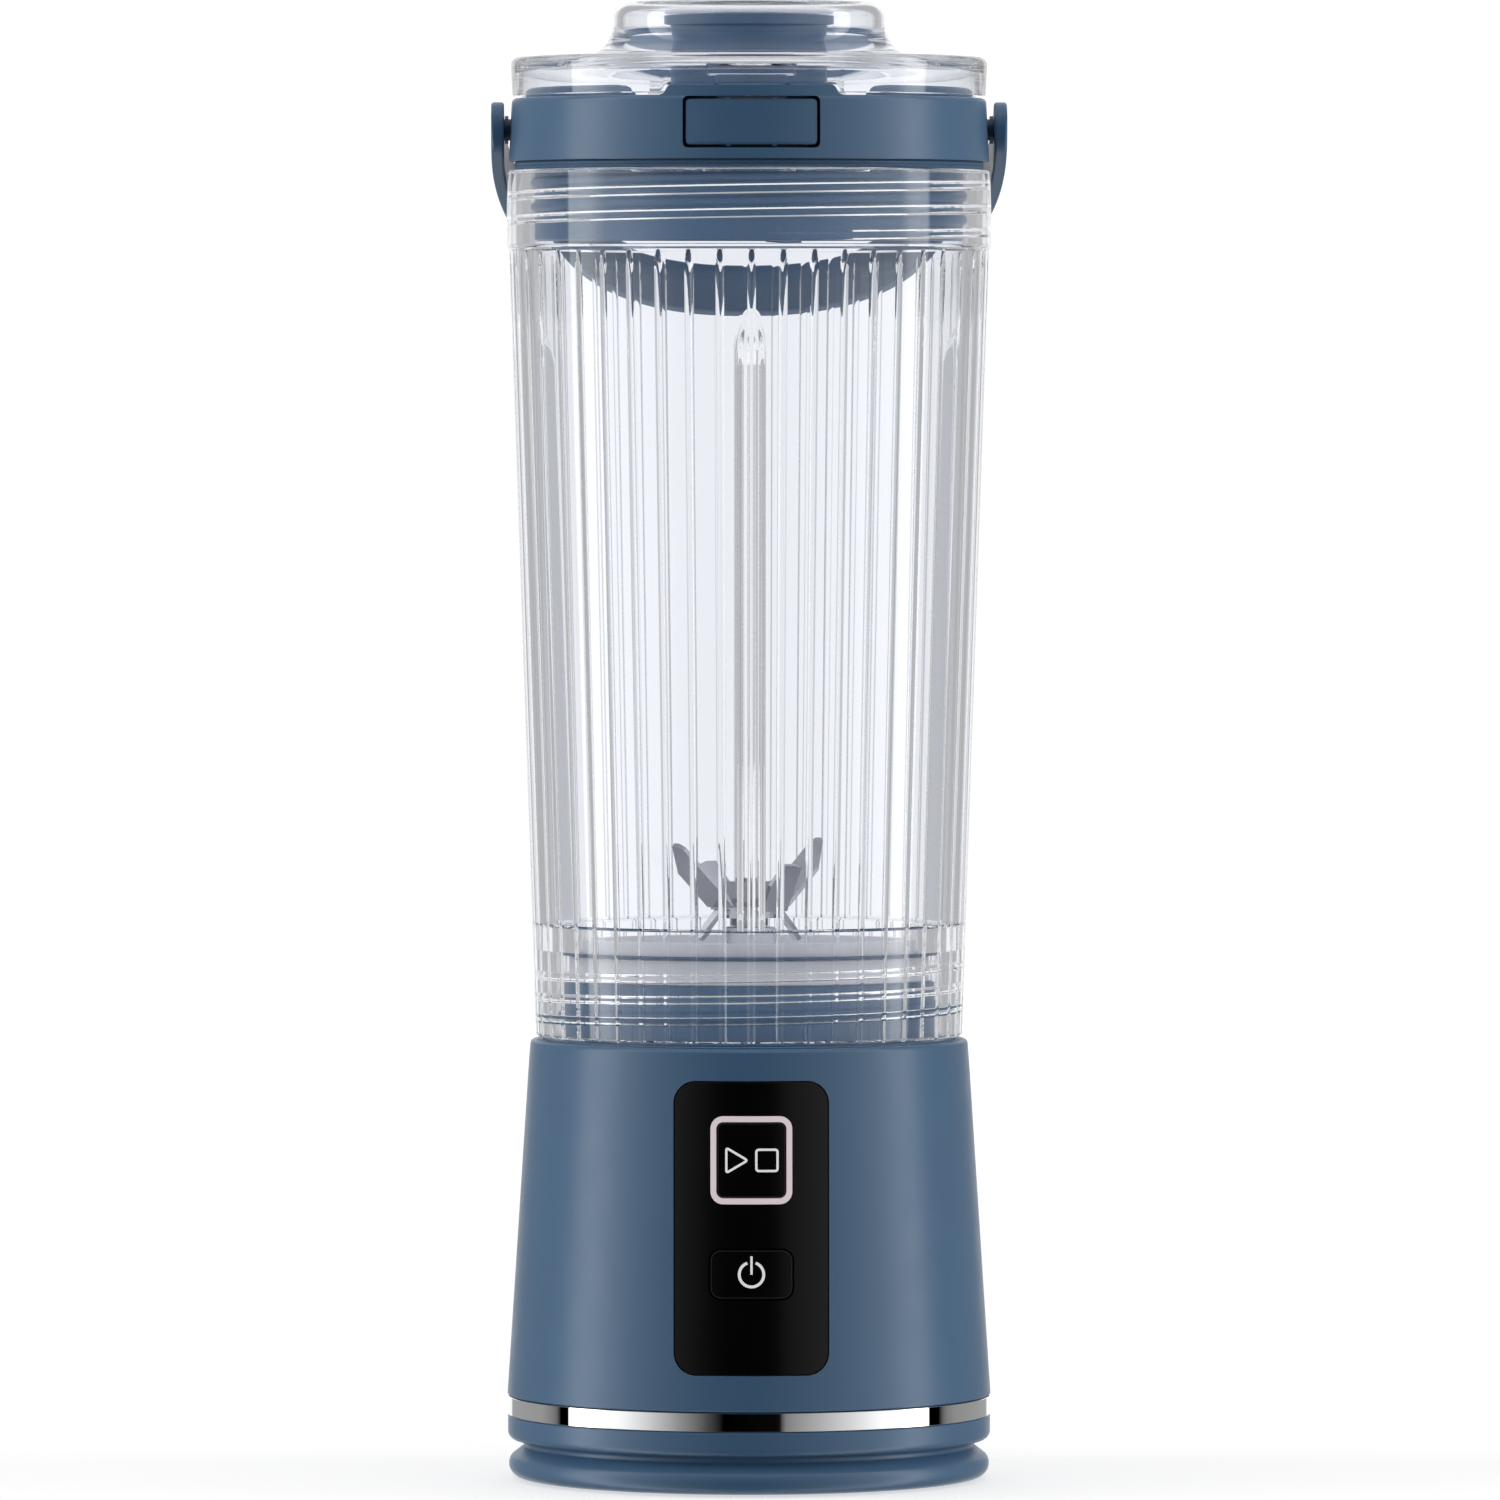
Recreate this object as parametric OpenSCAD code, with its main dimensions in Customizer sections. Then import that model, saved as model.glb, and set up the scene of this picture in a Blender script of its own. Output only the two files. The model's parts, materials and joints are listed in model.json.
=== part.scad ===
// Cordless bottle blender: motor base, grooved clear jar, screw lid with flip cover and carry handle.
// Millimetres, +Z up. The origin is the centre of the underside, and the control panel faces -Y.

/* [Motor base] */
// Radius of the base at the chrome trim ring
base_r = 45.1; // [44.9:0.1:45.4]
// Radius of the base at its top edge
base_top_r = 40.8; // [40.6:0.1:41.2]
// Height of the base, up to the shoulder that the jar stands on
base_h = 82; // [82:0.5:84]
// Wall thickness of the base housing
base_wall = 2.4; // [2:0.1:2.6]
// Height of the chrome trim ring's lower edge
trim_z = 12; // [11.5:0.1:12.5]
// Height of the chrome trim ring
trim_h = 3.5; // [3:0.1:3.6]

/* [Control panel] */
// Width of the black panel
panel_w = 28.3; // [27:0.1:29]
// Height of the black panel
panel_h = 53.7; // [52:0.1:54.5]
// Height of the panel's centre
panel_z = 49.3; // [48.5:0.1:50]
// Thickness of the panel, let into the housing
panel_t = 1.6; // [1.2:0.1:1.8]
// Travel of each push button
button_travel = 0.5; // [0.3:0.1:0.5]

/* [Jar] */
// Outer radius of the jar's mouth
mouth_r = 45.1; // [44.9:0.1:45.2]
// Outer radius of the jar's lower edge
jar_foot_r = 39.8; // [39.6:0.1:40.2]
// Height of the jar's rim above the surface
jar_top = 243.9; // [243:0.1:243.9]
// Thread pitch between jar and base
jar_pitch = 4; // [3.6:0.1:4.2]

/* [Lid] */
// Thread pitch between lid and jar
lid_pitch = 4.4; // [4:0.1:4.6]
// Height of the lid collar's deck
deck_z = 257.2; // [257:0.1:257.4]
// Radius of the drinking spout's rim
spout_r = 15.8; // [15:0.1:16]
// Height of the flip cover's dome
cover_top = 275.1; // [275:0.1:276]
// Travel of the latch button
latch_travel = 0.6; // [0.4:0.1:0.6]

/* [Carry handle] */
// Distance from the pivot to the middle of the strap
handle_reach = 57.4; // [57.4:0.1:58]
// Width of the strap
handle_w = 10.3; // [9:0.1:10.4]
// Angle that the handle hangs below the horizontal
handle_hang = 30.9; // [29:0.1:30.9]

/* [Hidden] */
$fn = 96;

blue = [0.27, 0.37, 0.48];
clear = [0.85, 0.88, 0.93, 0.35];
steel = [0.72, 0.73, 0.74];
light_grey = [0.76, 0.78, 0.8];
black = [0.05, 0.05, 0.06];
board_green = [0.1, 0.32, 0.2];
silicone = [0.9, 0.9, 0.92];

// Base stack
cap_under = 0.3;                       // the pad stands this proud of the bottom cap
cap_top = trim_z - 0.1;
housing_z = trim_z + trim_h + 0.15;
housing_inner_lip = 77.4;
deck_under = 79.4;                     // underside of the threaded collar's deck
boss_r = 34.6;
boss_bore = 31.6;
boss_top = 93.4;
boss_thread_crest = 35.6;
screw_circle = 34.6;

// Panel and buttons
start_z = 61.8;
start_w = 15;
start_h = 16.1;
light_line = 1.15;
power_z = 40.9;
power_w = 15.4;
power_h = 9.2;
button_gap = 0.15;
button_flange = 0.9;
switch_tip = 37.3;                     // distance of the switches' plungers from the axis
stem_end = switch_tip + 0.1 + button_travel;
port_z = 31.6;
port_w = 13;
port_h = 7.4;
port_hinge_y = 43.8;                   // centre of the port cover's rolled lower edge
port_hinge_z = 28.4;
port_roll_r = 0.5;
screw_r = 1.38;
screw_hole_r = 1.4;

// Battery and motor
cell_r = 9.2;
cell_x = 24.5;
cell_z = 8;
cell_h = 65;
motor_r = 14.2;
motor_len = 38;
motor_shaft_r = 1.6;
motor_z = deck_under - motor_len;

// Blade unit
shaft_r = 2.5;
bearing_r = 5.5;
bearing_h = 3.6;
hub_z = 88;
lower_bearing_z = hub_z + 0.6;
upper_bearing_z = lower_bearing_z + bearing_h + 1.6;
seat_rim_z = 101.3;
blade_t = 0.8;
washer_t = 0.6;
blade_z = 104.8 + washer_t;            // underside of the lowest blade's plate
nut_z = blade_z + 3 * blade_t + washer_t;

// Jar
jar_foot_z = base_h + 0.8;
ledge_z = 103.6;
ledge_under = 98.9;
ledge_bore = 31.6;
thread_bore = 36;
taper_top = 229;
taper_top_r = mouth_r - 0.3;
mouth_bore = 41;
mouth_step = 230;
inner_low = 36.8;
inner_high = 40.3;
rib_w = 5.4;
rib_top = 219;

// Lid
plug_r = 39.9;
plug_bore = 37.4;
plug_z = 230.5;
collar_z = 245.5;
collar_low_r = 44.7;
collar_high_r = 44.2;
tab_w = 29.8;
tab_top = 259.2;
latch_z = 252.2;
latch_w = 25.2;
latch_h = 9.5;
latch_gap = 0.5;
latch_back = 42.9;                     // back of the latch's thin middle, behind the catch
latch_end_back = 41.4;
pocket_back = 38.3;
neck_r = 14.6;
spout_bore = 12;
spout_top = 273.2;
hinge_y = 44.5;
hinge_z = 261.6;
hinge_barrel = 3.1;
hinge_pin_r = 1.2;
hinge_w = 29;
lug_w = 4;
cover_z = deck_z + 0.4;
flange_r = 44.4;
flange_top = 264.9;
dome_r = 25.5;
cover_wall = 2;
seal_r = 13.2;

// Handle
pivot_z = 251.4;
strap_t = 2.4;
strap_x = 46.8;                        // middle of the strap at the pivot
loop_power = 2.3;                      // exponent of the loop's rounded outline
handle_pin_r = 2;

function housing_r(z) =
    base_r - (z - housing_z) * (base_r - base_top_r) / (base_h - housing_z);
function jar_inner(z) =
    inner_low + (z - ledge_z) * (inner_high - inner_low) / (mouth_step - ledge_z);
function arc(cx, cy, r, from, to, steps) =
    [for (i = [0:steps]) let (a = from + (to - from) * i / steps) [cx + r * cos(a), cy + r * sin(a)]];
// Points of a rounded half loop: a is half its width at the pivot, b its reach
function half_loop(a, b, steps) =
    [for (i = [0:2 * steps])
        let (t = 90 * i / steps, c = cos(t), s = sin(t), e = 2 / loop_power)
        [(c < 0 ? -1 : 1) * a * pow(abs(c), e), b * pow(abs(s), e)]];

module revolve(points) {
    rotate_extrude() polygon(points);
}

module tube(r_out, r_in, z_low, z_high) {
    translate([0, 0, z_low]) difference() {
        cylinder(r = r_out, h = z_high - z_low);
        translate([0, 0, -1]) cylinder(r = r_in, h = z_high - z_low + 2);
    }
}

module rounded_rect(w, h, r) {
    square([w - 2 * r, h], center = true);
    square([w, h - 2 * r], center = true);
    for (x = [-1, 1], y = [-1, 1])
        translate([x * (w / 2 - r), y * (h / 2 - r)]) circle(r = r);
}

// Rounded rectangle facing -Y, from y_near (closest to the front) to y_far
module front_slab(w, h, r, z, y_near, y_far) {
    translate([0, y_far, z]) rotate([90, 0, 0])
        linear_extrude(y_far - y_near) rounded_rect(w, h, r);
}

// Layer of the tapered housing between two depths under its outer surface
module housing_layer(depth_out, depth_in) {
    revolve([
        [housing_r(housing_z) - depth_in, housing_z], [housing_r(housing_z) - depth_out, housing_z],
        [housing_r(base_h) - depth_out, base_h], [housing_r(base_h) - depth_in, base_h]
    ]);
}

module round_array(count, radius, start) {
    for (i = [0:count - 1])
        rotate([0, 0, start + i * 360 / count]) translate([radius, 0, 0]) children();
}

// Thread ridges of one crest height, drawn as closed rings one pitch apart
module thread_rings(root, crest, root_w, crest_w, pitch, z_low, count) {
    for (i = [0:count - 1]) translate([0, 0, z_low + i * pitch])
        revolve([[root - 1, -root_w / 2], [root, -root_w / 2], [crest, -crest_w / 2],
            [crest, crest_w / 2], [root, root_w / 2], [root - 1, root_w / 2]]);
}

// Round-wire coil along +Z
module coil(radius, wire, length, turns) {
    per_turn = 16;
    sides = 8;
    rings = per_turn * turns;
    points = [for (i = [0:rings], k = [0:sides - 1])
        let (a = 360 * i / per_turn, b = 360 * k / sides, r = radius + wire * cos(b))
        [r * cos(a), r * sin(a), wire + (length - 2 * wire) * i / rings + wire * sin(b)]];
    faces = [for (i = [0:rings - 1], k = [0:sides - 1])
        let (j = (k + 1) % sides)
        [sides * i + k, sides * (i + 1) + k, sides * (i + 1) + j, sides * i + j]];
    start = [[for (k = [0:sides - 1]) k]];
    end = [[for (k = [0:sides - 1]) sides * rings + sides - 1 - k]];
    polyhedron(points, concat(faces, start, end), convexity = 10);
}

// Pan-head screw, its head's underside at z = 0 and its shank upwards
module screw(shank_r, length, head_r, head_h) {
    cylinder(r = shank_r, h = length);
    translate([0, 0, -head_h]) difference() {
        cylinder(r = head_r, h = head_h);
        for (a = [0, 90]) rotate([0, 0, a])
            translate([-head_r * 0.6, -0.3, -1]) cube([head_r * 1.2, 0.6, 1.6]);
    }
}

// ---- motor base ----

module foot_pad() {
    color(black) cylinder(r = 37.9, h = 1.4);
}

module bottom_cap() {
    color(blue) difference() {
        revolve(concat(
            [[0, cap_under]],
            arc(42.3, cap_under + 2.5, 2.5, -90, 35, 8),
            arc(42.6, 6.5, 0.6, 215, 120, 4),
            arc(43.4, 8.9, 1.6, -60, 0, 4),
            [[45, cap_top], [41.2, cap_top], [41.2, 19], [39.2, 19], [39.2, 4.5], [0, 4.5]]
        ));
        translate([0, 0, -1]) cylinder(r = 38, h = 2.5);
        round_array(4, screw_circle, 45) {
            translate([0, 0, -1]) cylinder(r = 1.7, h = 10);
            translate([0, 0, -1]) cylinder(r = 3, h = 4);
        }
    }
}

module bottom_screws() {
    color(steel) round_array(4, screw_circle, 45) translate([0, 0, 2.98]) screw(screw_r, 22, 2.8, 1.45);
}

module battery_tray() {
    color(black) difference() {
        union() {
            translate([-33.5, -9.5, 4.6]) cube([67, 19, 3]);
            for (x = [-cell_x, cell_x]) translate([x, 0, 0]) tube(cell_r + 1.2, cell_r + 0.2, 7.5, 16);
        }
        translate([-3, -6, 4]) cube([6, 12, 4]);
    }
}

module battery_cell(x) {
    translate([x, 0, cell_z]) {
        cylinder(r = cell_r, h = cell_h);
        translate([0, 0, cell_h]) cylinder(r = 3, h = 0.8);
    }
}

module battery_cell_left() {
    color([0.2, 0.5, 0.35]) battery_cell(-cell_x);
}

module battery_cell_right() {
    color([0.2, 0.5, 0.35]) battery_cell(cell_x);
}

module cell_tabs() {
    color(steel) for (x = [-1, 1])
        translate([x * cell_x - 3, -11, cell_z + cell_h + 0.85]) cube([6, 16, 0.3]);
}

module chrome_ring() {
    color([0.85, 0.86, 0.88]) tube(45, 41.5, trim_z, trim_z + trim_h);
}

module base_housing() {
    color(blue) difference() {
        union() {
            revolve(concat(
                [[housing_r(housing_z) - base_wall, housing_z], [housing_r(housing_z), housing_z]],
                arc(base_top_r - 0.8, base_h - 0.8, 0.8, 0, 90, 5),
                [[38.4, base_h], [38.4, deck_under], [36, deck_under],
                    [36, housing_inner_lip], [housing_r(housing_inner_lip) - base_wall,
                    housing_inner_lip - 2.2]]
            ));
            intersection() {
                housing_layer(0.5, 20);
                round_array(4, screw_circle, 45) translate([0, 0, 20]) {
                    cylinder(r = 3.4, h = 20);
                    translate([0, -1, 0]) cube([8, 2, 20]);
                }
            }
        }
        intersection() {
            housing_layer(-2, panel_t);
            front_slab(panel_w + 0.3, panel_h + 0.3, 4.15, panel_z, -60, -20);
        }
        front_slab(start_w + 2, start_h + 2, 3, start_z, -60, -20);
        front_slab(power_w + 2, power_h + 2, 3, power_z, -60, -20);
        intersection() {
            housing_layer(-2, panel_t);
            front_slab(port_w + 0.4, port_h + 0.4, 2, port_z, 20, 60);
        }
        front_slab(10.4, 4.8, 2.2, port_z, 20, 60);
        round_array(4, screw_circle, 45) translate([0, 0, 10]) cylinder(r = screw_hole_r, h = 22);
    }
}

module control_panel() {
    color(black) difference() {
        intersection() {
            housing_layer(0, panel_t);
            front_slab(panel_w, panel_h, 4, panel_z, -60, -20);
        }
        front_slab(start_w + 0.1, start_h + 0.1, 2.35, start_z, -60, -20);
        front_slab(power_w + 2 * button_gap, power_h + 2 * button_gap, 2.2, power_z, -60, -20);
    }
}

module start_light_ring() {
    color([0.88, 0.83, 0.84]) intersection() {
        housing_layer(0, panel_t);
        difference() {
            front_slab(start_w, start_h, 2.3, start_z, -60, -20);
            front_slab(start_w - 2 * light_line, start_h - 2 * light_line, 1.2, start_z, -61, -19);
        }
    }
}

// Push button: a cap flush with the panel, a flange behind the panel and a stem to its switch
module push_button(w, h, r, z) {
    intersection() {
        housing_layer(0, panel_t + 1);
        front_slab(w, h, r, z, -60, -20);
    }
    intersection() {
        housing_layer(panel_t + 0.1, panel_t + 1);
        front_slab(w + 2 * button_flange, h + 2 * button_flange, r + button_flange, z, -60, -20);
    }
    translate([-1.5, -(housing_r(z) - panel_t - 0.5), z - 1.5])
        cube([3, housing_r(z) - panel_t - 0.5 - stem_end, 3]);
}

module start_button() {
    inset = 2 * (light_line + button_gap);
    color(black) push_button(start_w - inset, start_h - inset, 1.1, start_z);
}

module power_button() {
    color(black) push_button(power_w, power_h, 2.05, power_z);
}

module button_board() {
    color(board_green) translate([-13, -33.6, 26]) cube([26, 1.6, 48]);
}

// Tactile switch on the button board, its plunger just short of the button's stem
module tact_switch(z) {
    translate([-3, -36.1, z - 3]) cube([6, 2.5, 6]);
    translate([0, -36.1, z]) rotate([90, 0, 0]) cylinder(r = 1.5, h = 1.2);
}

module start_switch() {
    color(steel) tact_switch(start_z);
}

module power_switch() {
    color(steel) tact_switch(power_z);
}

module charge_board() {
    color(board_green) translate([-8, 22, port_z - 3.4]) cube([16, 18.6, 1.6]);
}

module usb_socket() {
    color(steel) difference() {
        front_slab(8.94, 3.26, 1.4, port_z, 33.4, 40.7);
        front_slab(8.34, 2.56, 1.1, port_z, 34.4, 42);
    }
}

module port_cover() {
    roll_w = port_w - 3.6;
    color(blue) {
        intersection() {
            housing_layer(0, panel_t - 0.1);
            front_slab(port_w, port_h, 1.8, port_z, 20, 60);
            translate([-port_w, 20, port_hinge_z]) cube([2 * port_w, 40, port_h]);
        }
        translate([-roll_w / 2, port_hinge_y, port_hinge_z]) rotate([0, 90, 0])
            cylinder(r = port_roll_r, h = roll_w);
    }
}

module base_collar() {
    color(blue) difference() {
        union() {
            tube(38.2, 5.2, deck_under, base_h + 0.2);
            tube(boss_r, boss_bore, base_h, boss_top);
            thread_rings(boss_r, boss_thread_crest, 2, 0.7, jar_pitch, base_h + 3.6, 2);
            round_array(3, 27, 90) translate([0, 0, base_h]) cylinder(r = 3.4, h = boss_top - base_h);
        }
        round_array(3, 27, 90) translate([0, 0, 70]) cylinder(r = 1.7, h = 30);
        for (x = [-8, 8]) translate([x, 0, 70]) cylinder(r = 1.6, h = 20);
    }
}

// ---- motor ----

module motor_can() {
    color(steel) {
        difference() {
            translate([0, 0, motor_z]) cylinder(r = motor_r, h = motor_len - 0.05);
            translate([0, 0, motor_z - 1]) cylinder(r = motor_r - 1, h = motor_len - 0.5);
            translate([0, 0, 70]) cylinder(r = motor_shaft_r + 0.05, h = 20);
            for (x = [-8, 8]) translate([x, 0, 70]) cylinder(r = 1.3, h = 20);
        }
        tube(5, motor_shaft_r + 0.05, deck_under - 0.1, deck_under + 2);
    }
}

module motor_magnets() {
    color([0.25, 0.25, 0.27]) difference() {
        tube(motor_r - 1.05, 11, motor_z + 5, motor_z + 31);
        translate([-20, -4, motor_z]) cube([40, 8, 40]);
    }
}

module motor_endcap() {
    color(black) {
        tube(motor_r - 0.2, motor_shaft_r + 0.05, motor_z - 3, motor_z - 0.05);
        for (x = [-9, 9]) translate([x - 1.4, -0.4, motor_z - 7]) cube([2.8, 0.8, 4.2]);
    }
}

module motor_screws() {
    color(steel) for (x = [-8, 8])
        translate([x, 0, base_h + 0.25]) rotate([180, 0, 0]) screw(1.25, 6, 2.4, 1.4);
}

module motor_shaft() {
    color(steel) translate([0, 0, motor_z - 3.2]) cylinder(r = motor_shaft_r, h = 46.4);
}

module armature() {
    color([0.55, 0.4, 0.25]) difference() {
        tube(10.4, motor_shaft_r, motor_z + 8, motor_z + 28);
        round_array(5, 10.4, 0) translate([-1.6, -0.6, motor_z]) cube([3, 1.2, 40]);
    }
}

module commutator() {
    color([0.72, 0.45, 0.3]) tube(3.6, motor_shaft_r, motor_z + 0.6, motor_z + 7.6);
}

module drive_coupling() {
    color(black) translate([0, 0, deck_under + 2.4]) difference() {
        cylinder(r = 5, h = 5.6);
        translate([0, 0, -1]) cylinder(r = motor_shaft_r, h = 8);
        translate([0, 0, 3]) cylinder(r = shaft_r, h = 4);
    }
}

// ---- blade unit ----

module seat_screws() {
    color(steel) round_array(3, 27, 90) translate([0, 0, deck_under - 0.05]) screw(screw_r, 16.5, 2.8, 1.6);
}

module blade_seat() {
    color(light_grey) difference() {
        revolve([
            [shaft_r + 0.6, 100.9], [shaft_r + 0.6, 97.6], [bearing_r + 0.02, 97.6],
            [bearing_r + 0.02, hub_z], [7.6, hub_z], [7.6, 94.6], [22.5, 94.6],
            [22.5, boss_top + 0.05], [33.5, boss_top + 0.05], [33.5, 98.2], [31, 98.2],
            [31, seat_rim_z - 0.4], [30.6, seat_rim_z], [29.2, seat_rim_z], [27.6, 98.4],
            [6.4, 98.4], [5, 99.8], [5, 103], [4.3, 103], [4.3, 100.9]
        ]);
        round_array(3, 27, 90) translate([0, 0, 90]) cylinder(r = screw_hole_r, h = 6.8);
    }
}

module bearing(z) {
    tube(bearing_r, shaft_r + 0.05, z, z + bearing_h);
}

module upper_bearing() {
    color(steel) bearing(upper_bearing_z);
}

module lower_bearing() {
    color(steel) bearing(lower_bearing_z);
}

module bearing_sleeve() {
    color(steel) tube(bearing_r, 4.3, lower_bearing_z + bearing_h + 0.05, upper_bearing_z - 0.05);
}

module bearing_clip() {
    color(steel) tube(bearing_r, 4.2, hub_z + 0.05, lower_bearing_z - 0.05);
}

module shaft_seal() {
    color(black) tube(4.25, shaft_r + 0.05, 101, 102.8);
}

module blade_shaft() {
    color(steel) {
        translate([0, 0, 85]) cylinder(r = shaft_r, h = 27.2);
        translate([0, 0, 103.3]) cylinder(r = 3.6, h = 1.5);
    }
}

module lower_washer() {
    color(steel) tube(5.4, shaft_r, 104.8, 104.8 + washer_t);
}

// Pair of opposed arms on one plate. Each arm bends up (or down) at bend_r by the tilt angle,
// and its outline is as wide as w at the bend and ends in a slanted point after reach.
module blade_pair(z, azimuth, bend_r, tilt, w, reach, tip_w) {
    translate([0, 0, z]) rotate([0, 0, azimuth]) difference() {
        union() {
            cylinder(r = 5.2, h = blade_t);
            for (side = [0, 180]) rotate([0, 0, side]) {
                translate([0, -w / 2, 0]) cube([bend_r, w, blade_t]);
                translate([bend_r, 0, blade_t / 2]) rotate([0, -tilt, 0])
                    translate([-0.35, 0, -blade_t / 2]) linear_extrude(blade_t)
                        polygon([[0, -w / 2], [reach * 0.55, -w / 2], [reach, w / 2 - tip_w],
                            [reach, w / 2 - tip_w * 0.4], [reach * 0.94, w / 2], [0, w / 2]]);
            }
        }
        translate([0, 0, -1]) cylinder(r = shaft_r, h = 3);
    }
}

module low_blades() {
    color(steel) blade_pair(blade_z, 10, 5.8, -52, 6, 6.2, 4.4);
}

module short_blades() {
    color(steel) blade_pair(blade_z + blade_t, 130, 7.2, 64, 6, 9.6, 4.2);
}

module long_blades() {
    color(steel) blade_pair(blade_z + 2 * blade_t, 45, 7.5, 40, 7, 18.2, 2.2);
}

module upper_washer() {
    color(steel) tube(4.8, shaft_r, nut_z - washer_t, nut_z);
}

module blade_nut() {
    color(steel) difference() {
        translate([0, 0, nut_z]) cylinder(r = 4.2, h = 3.2, $fn = 6);
        translate([0, 0, nut_z - 1]) cylinder(r = shaft_r, h = 6);
    }
}

// ---- jar ----

module jar_seal() {
    color(blue) tube(35.4, 31.3, 98.3, 98.85);
}

// Inner fin of the jar, with an ogive top seen from the middle of the jar
module jar_rib() {
    intersection() {
        translate([0, rib_w / 2, 0]) rotate([90, 0, 0]) linear_extrude(rib_w)
            polygon([[jar_inner(ledge_z) - 4, ledge_z - 1], [jar_inner(rib_top) - 3.2, rib_top],
                [jar_inner(rib_top) + 0.6, rib_top], [jar_inner(ledge_z) + 0.6, ledge_z - 1]]);
        rotate([90, 0, 90]) linear_extrude(60)
            polygon(concat([[-rib_w / 2, ledge_z - 2]], arc(rib_w * 1.5, rib_top - 9, rib_w * 2, 180, 139, 6),
                arc(-rib_w * 1.5, rib_top - 9, rib_w * 2, 41, 0, 6), [[rib_w / 2, ledge_z - 2]]));
    }
}

module jar() {
    color(clear) union() {
        revolve([
            [thread_bore, jar_foot_z], [jar_foot_r, jar_foot_z], [taper_top_r, taper_top],
            [mouth_r, taper_top + 0.4], [mouth_r, jar_top - 0.5], [mouth_r - 0.5, jar_top],
            [mouth_bore + 0.8, jar_top], [mouth_bore, jar_top - 0.8], [mouth_bore, mouth_step],
            [inner_high, mouth_step], [inner_low, ledge_z], [ledge_bore, ledge_z],
            [ledge_bore, ledge_under], [thread_bore, ledge_under]
        ]);
        for (a = [0:90:270]) rotate([0, 0, a]) jar_rib();
    }
}

// ---- lid ----

module lid_seal() {
    color(blue) tube(43.7, plug_r + 0.4, jar_top + 0.1, collar_z - 0.05);
}

// Raised tab outline over the latch, seen from the front, grown by a clearance
module tab_outline(grow) {
    half = tab_w / 2 + grow;
    top = tab_top + grow;
    polygon([[-half - 1.7, deck_z - 1.7], [-half - 1.7, deck_z + grow], [-half, top - 0.3], [-half + 0.6, top],
        [half - 0.6, top], [half, top - 0.3], [half + 1.7, deck_z + grow], [half + 1.7, deck_z - 1.7]]);
}

module lid_collar() {
    color(blue) difference() {
        union() {
            revolve([
                [plug_bore, plug_z], [plug_r - 0.4, plug_z], [plug_r, plug_z + 0.4], [plug_r, collar_z],
                [collar_low_r, collar_z], [collar_high_r, deck_z - 0.9], [collar_high_r - 0.9, deck_z],
                [neck_r, deck_z], [neck_r, spout_top - 2.9], [spout_r, spout_top - 2.4],
                [spout_r, spout_top - 0.5], [spout_r - 0.5, spout_top], [spout_bore, spout_top],
                [spout_bore, 254.6], [plug_bore, 254.6]
            ]);
            thread_rings(plug_r, plug_r + 0.75, 2.2, 0.8, lid_pitch, plug_z + 2.4, 3);
            intersection() {
                tube(collar_high_r, 39.4, deck_z - 1, tab_top);
                translate([0, -30, 0]) rotate([90, 0, 0]) linear_extrude(20) tab_outline(0);
            }
            for (side = [0, 1]) mirror([side, 0, 0])
                rotate([0, 0, -57.4]) rotate_extrude(angle = 87.4)
                    translate([38.6, deck_z - 0.5]) square([3, 2.5]);
            translate([-hinge_w / 2, hinge_y, hinge_z]) rotate([0, 90, 0])
                cylinder(r = hinge_barrel, h = hinge_w);
            translate([-hinge_w / 2, 40.8, 254]) cube([hinge_w, hinge_y + 2.6 - 40.8, hinge_z - 254]);
        }
        front_slab(latch_w, latch_h, 1, latch_z, -60, -pocket_back);
        translate([-6.9, -43.3, 249]) cube([13.8, 3.6, 12]);
        translate([-20, hinge_y, hinge_z]) rotate([0, 90, 0]) cylinder(r = hinge_pin_r, h = 40);
        translate([-50, 0, pivot_z]) rotate([0, 90, 0]) cylinder(r = handle_pin_r, h = 9.6);
        translate([40.4, 0, pivot_z]) rotate([0, 90, 0]) cylinder(r = handle_pin_r, h = 9.6);
    }
}

module handle_pin(side) {
    mirror([side, 0, 0]) translate([40.5, 0, pivot_z]) rotate([0, 90, 0]) {
        cylinder(r = handle_pin_r, h = 7.4);
        translate([0, 0, 4.3]) cylinder(r = 2.6, h = 0.65);
    }
}

module handle_pin_left() {
    color(blue) handle_pin(1);
}

module handle_pin_right() {
    color(blue) handle_pin(0);
}

module carry_handle() {
    color(blue) translate([0, 0, pivot_z]) rotate([-handle_hang, 0, 0]) difference() {
        union() {
            translate([0, 0, -handle_w / 2]) linear_extrude(handle_w) difference() {
                polygon(half_loop(strap_x + strap_t / 2, handle_reach + strap_t / 2, 24));
                polygon(half_loop(strap_x - strap_t / 2, handle_reach - strap_t / 2, 24));
            }
            for (side = [-1, 1]) translate([side * strap_x - strap_t / 2, 0, 0])
                rotate([0, 90, 0]) cylinder(r = handle_w / 2, h = strap_t);
        }
        for (side = [-1, 1]) translate([side * strap_x - 3, 0, 0])
            rotate([0, 90, 0]) cylinder(r = handle_pin_r + 0.06, h = 6);
    }
}

module hinge_pin() {
    reach = hinge_w / 2 + 0.5 + lug_w;
    color(steel) translate([-reach, hinge_y, hinge_z]) rotate([0, 90, 0])
        cylinder(r = hinge_pin_r, h = 2 * reach);
}

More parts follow.
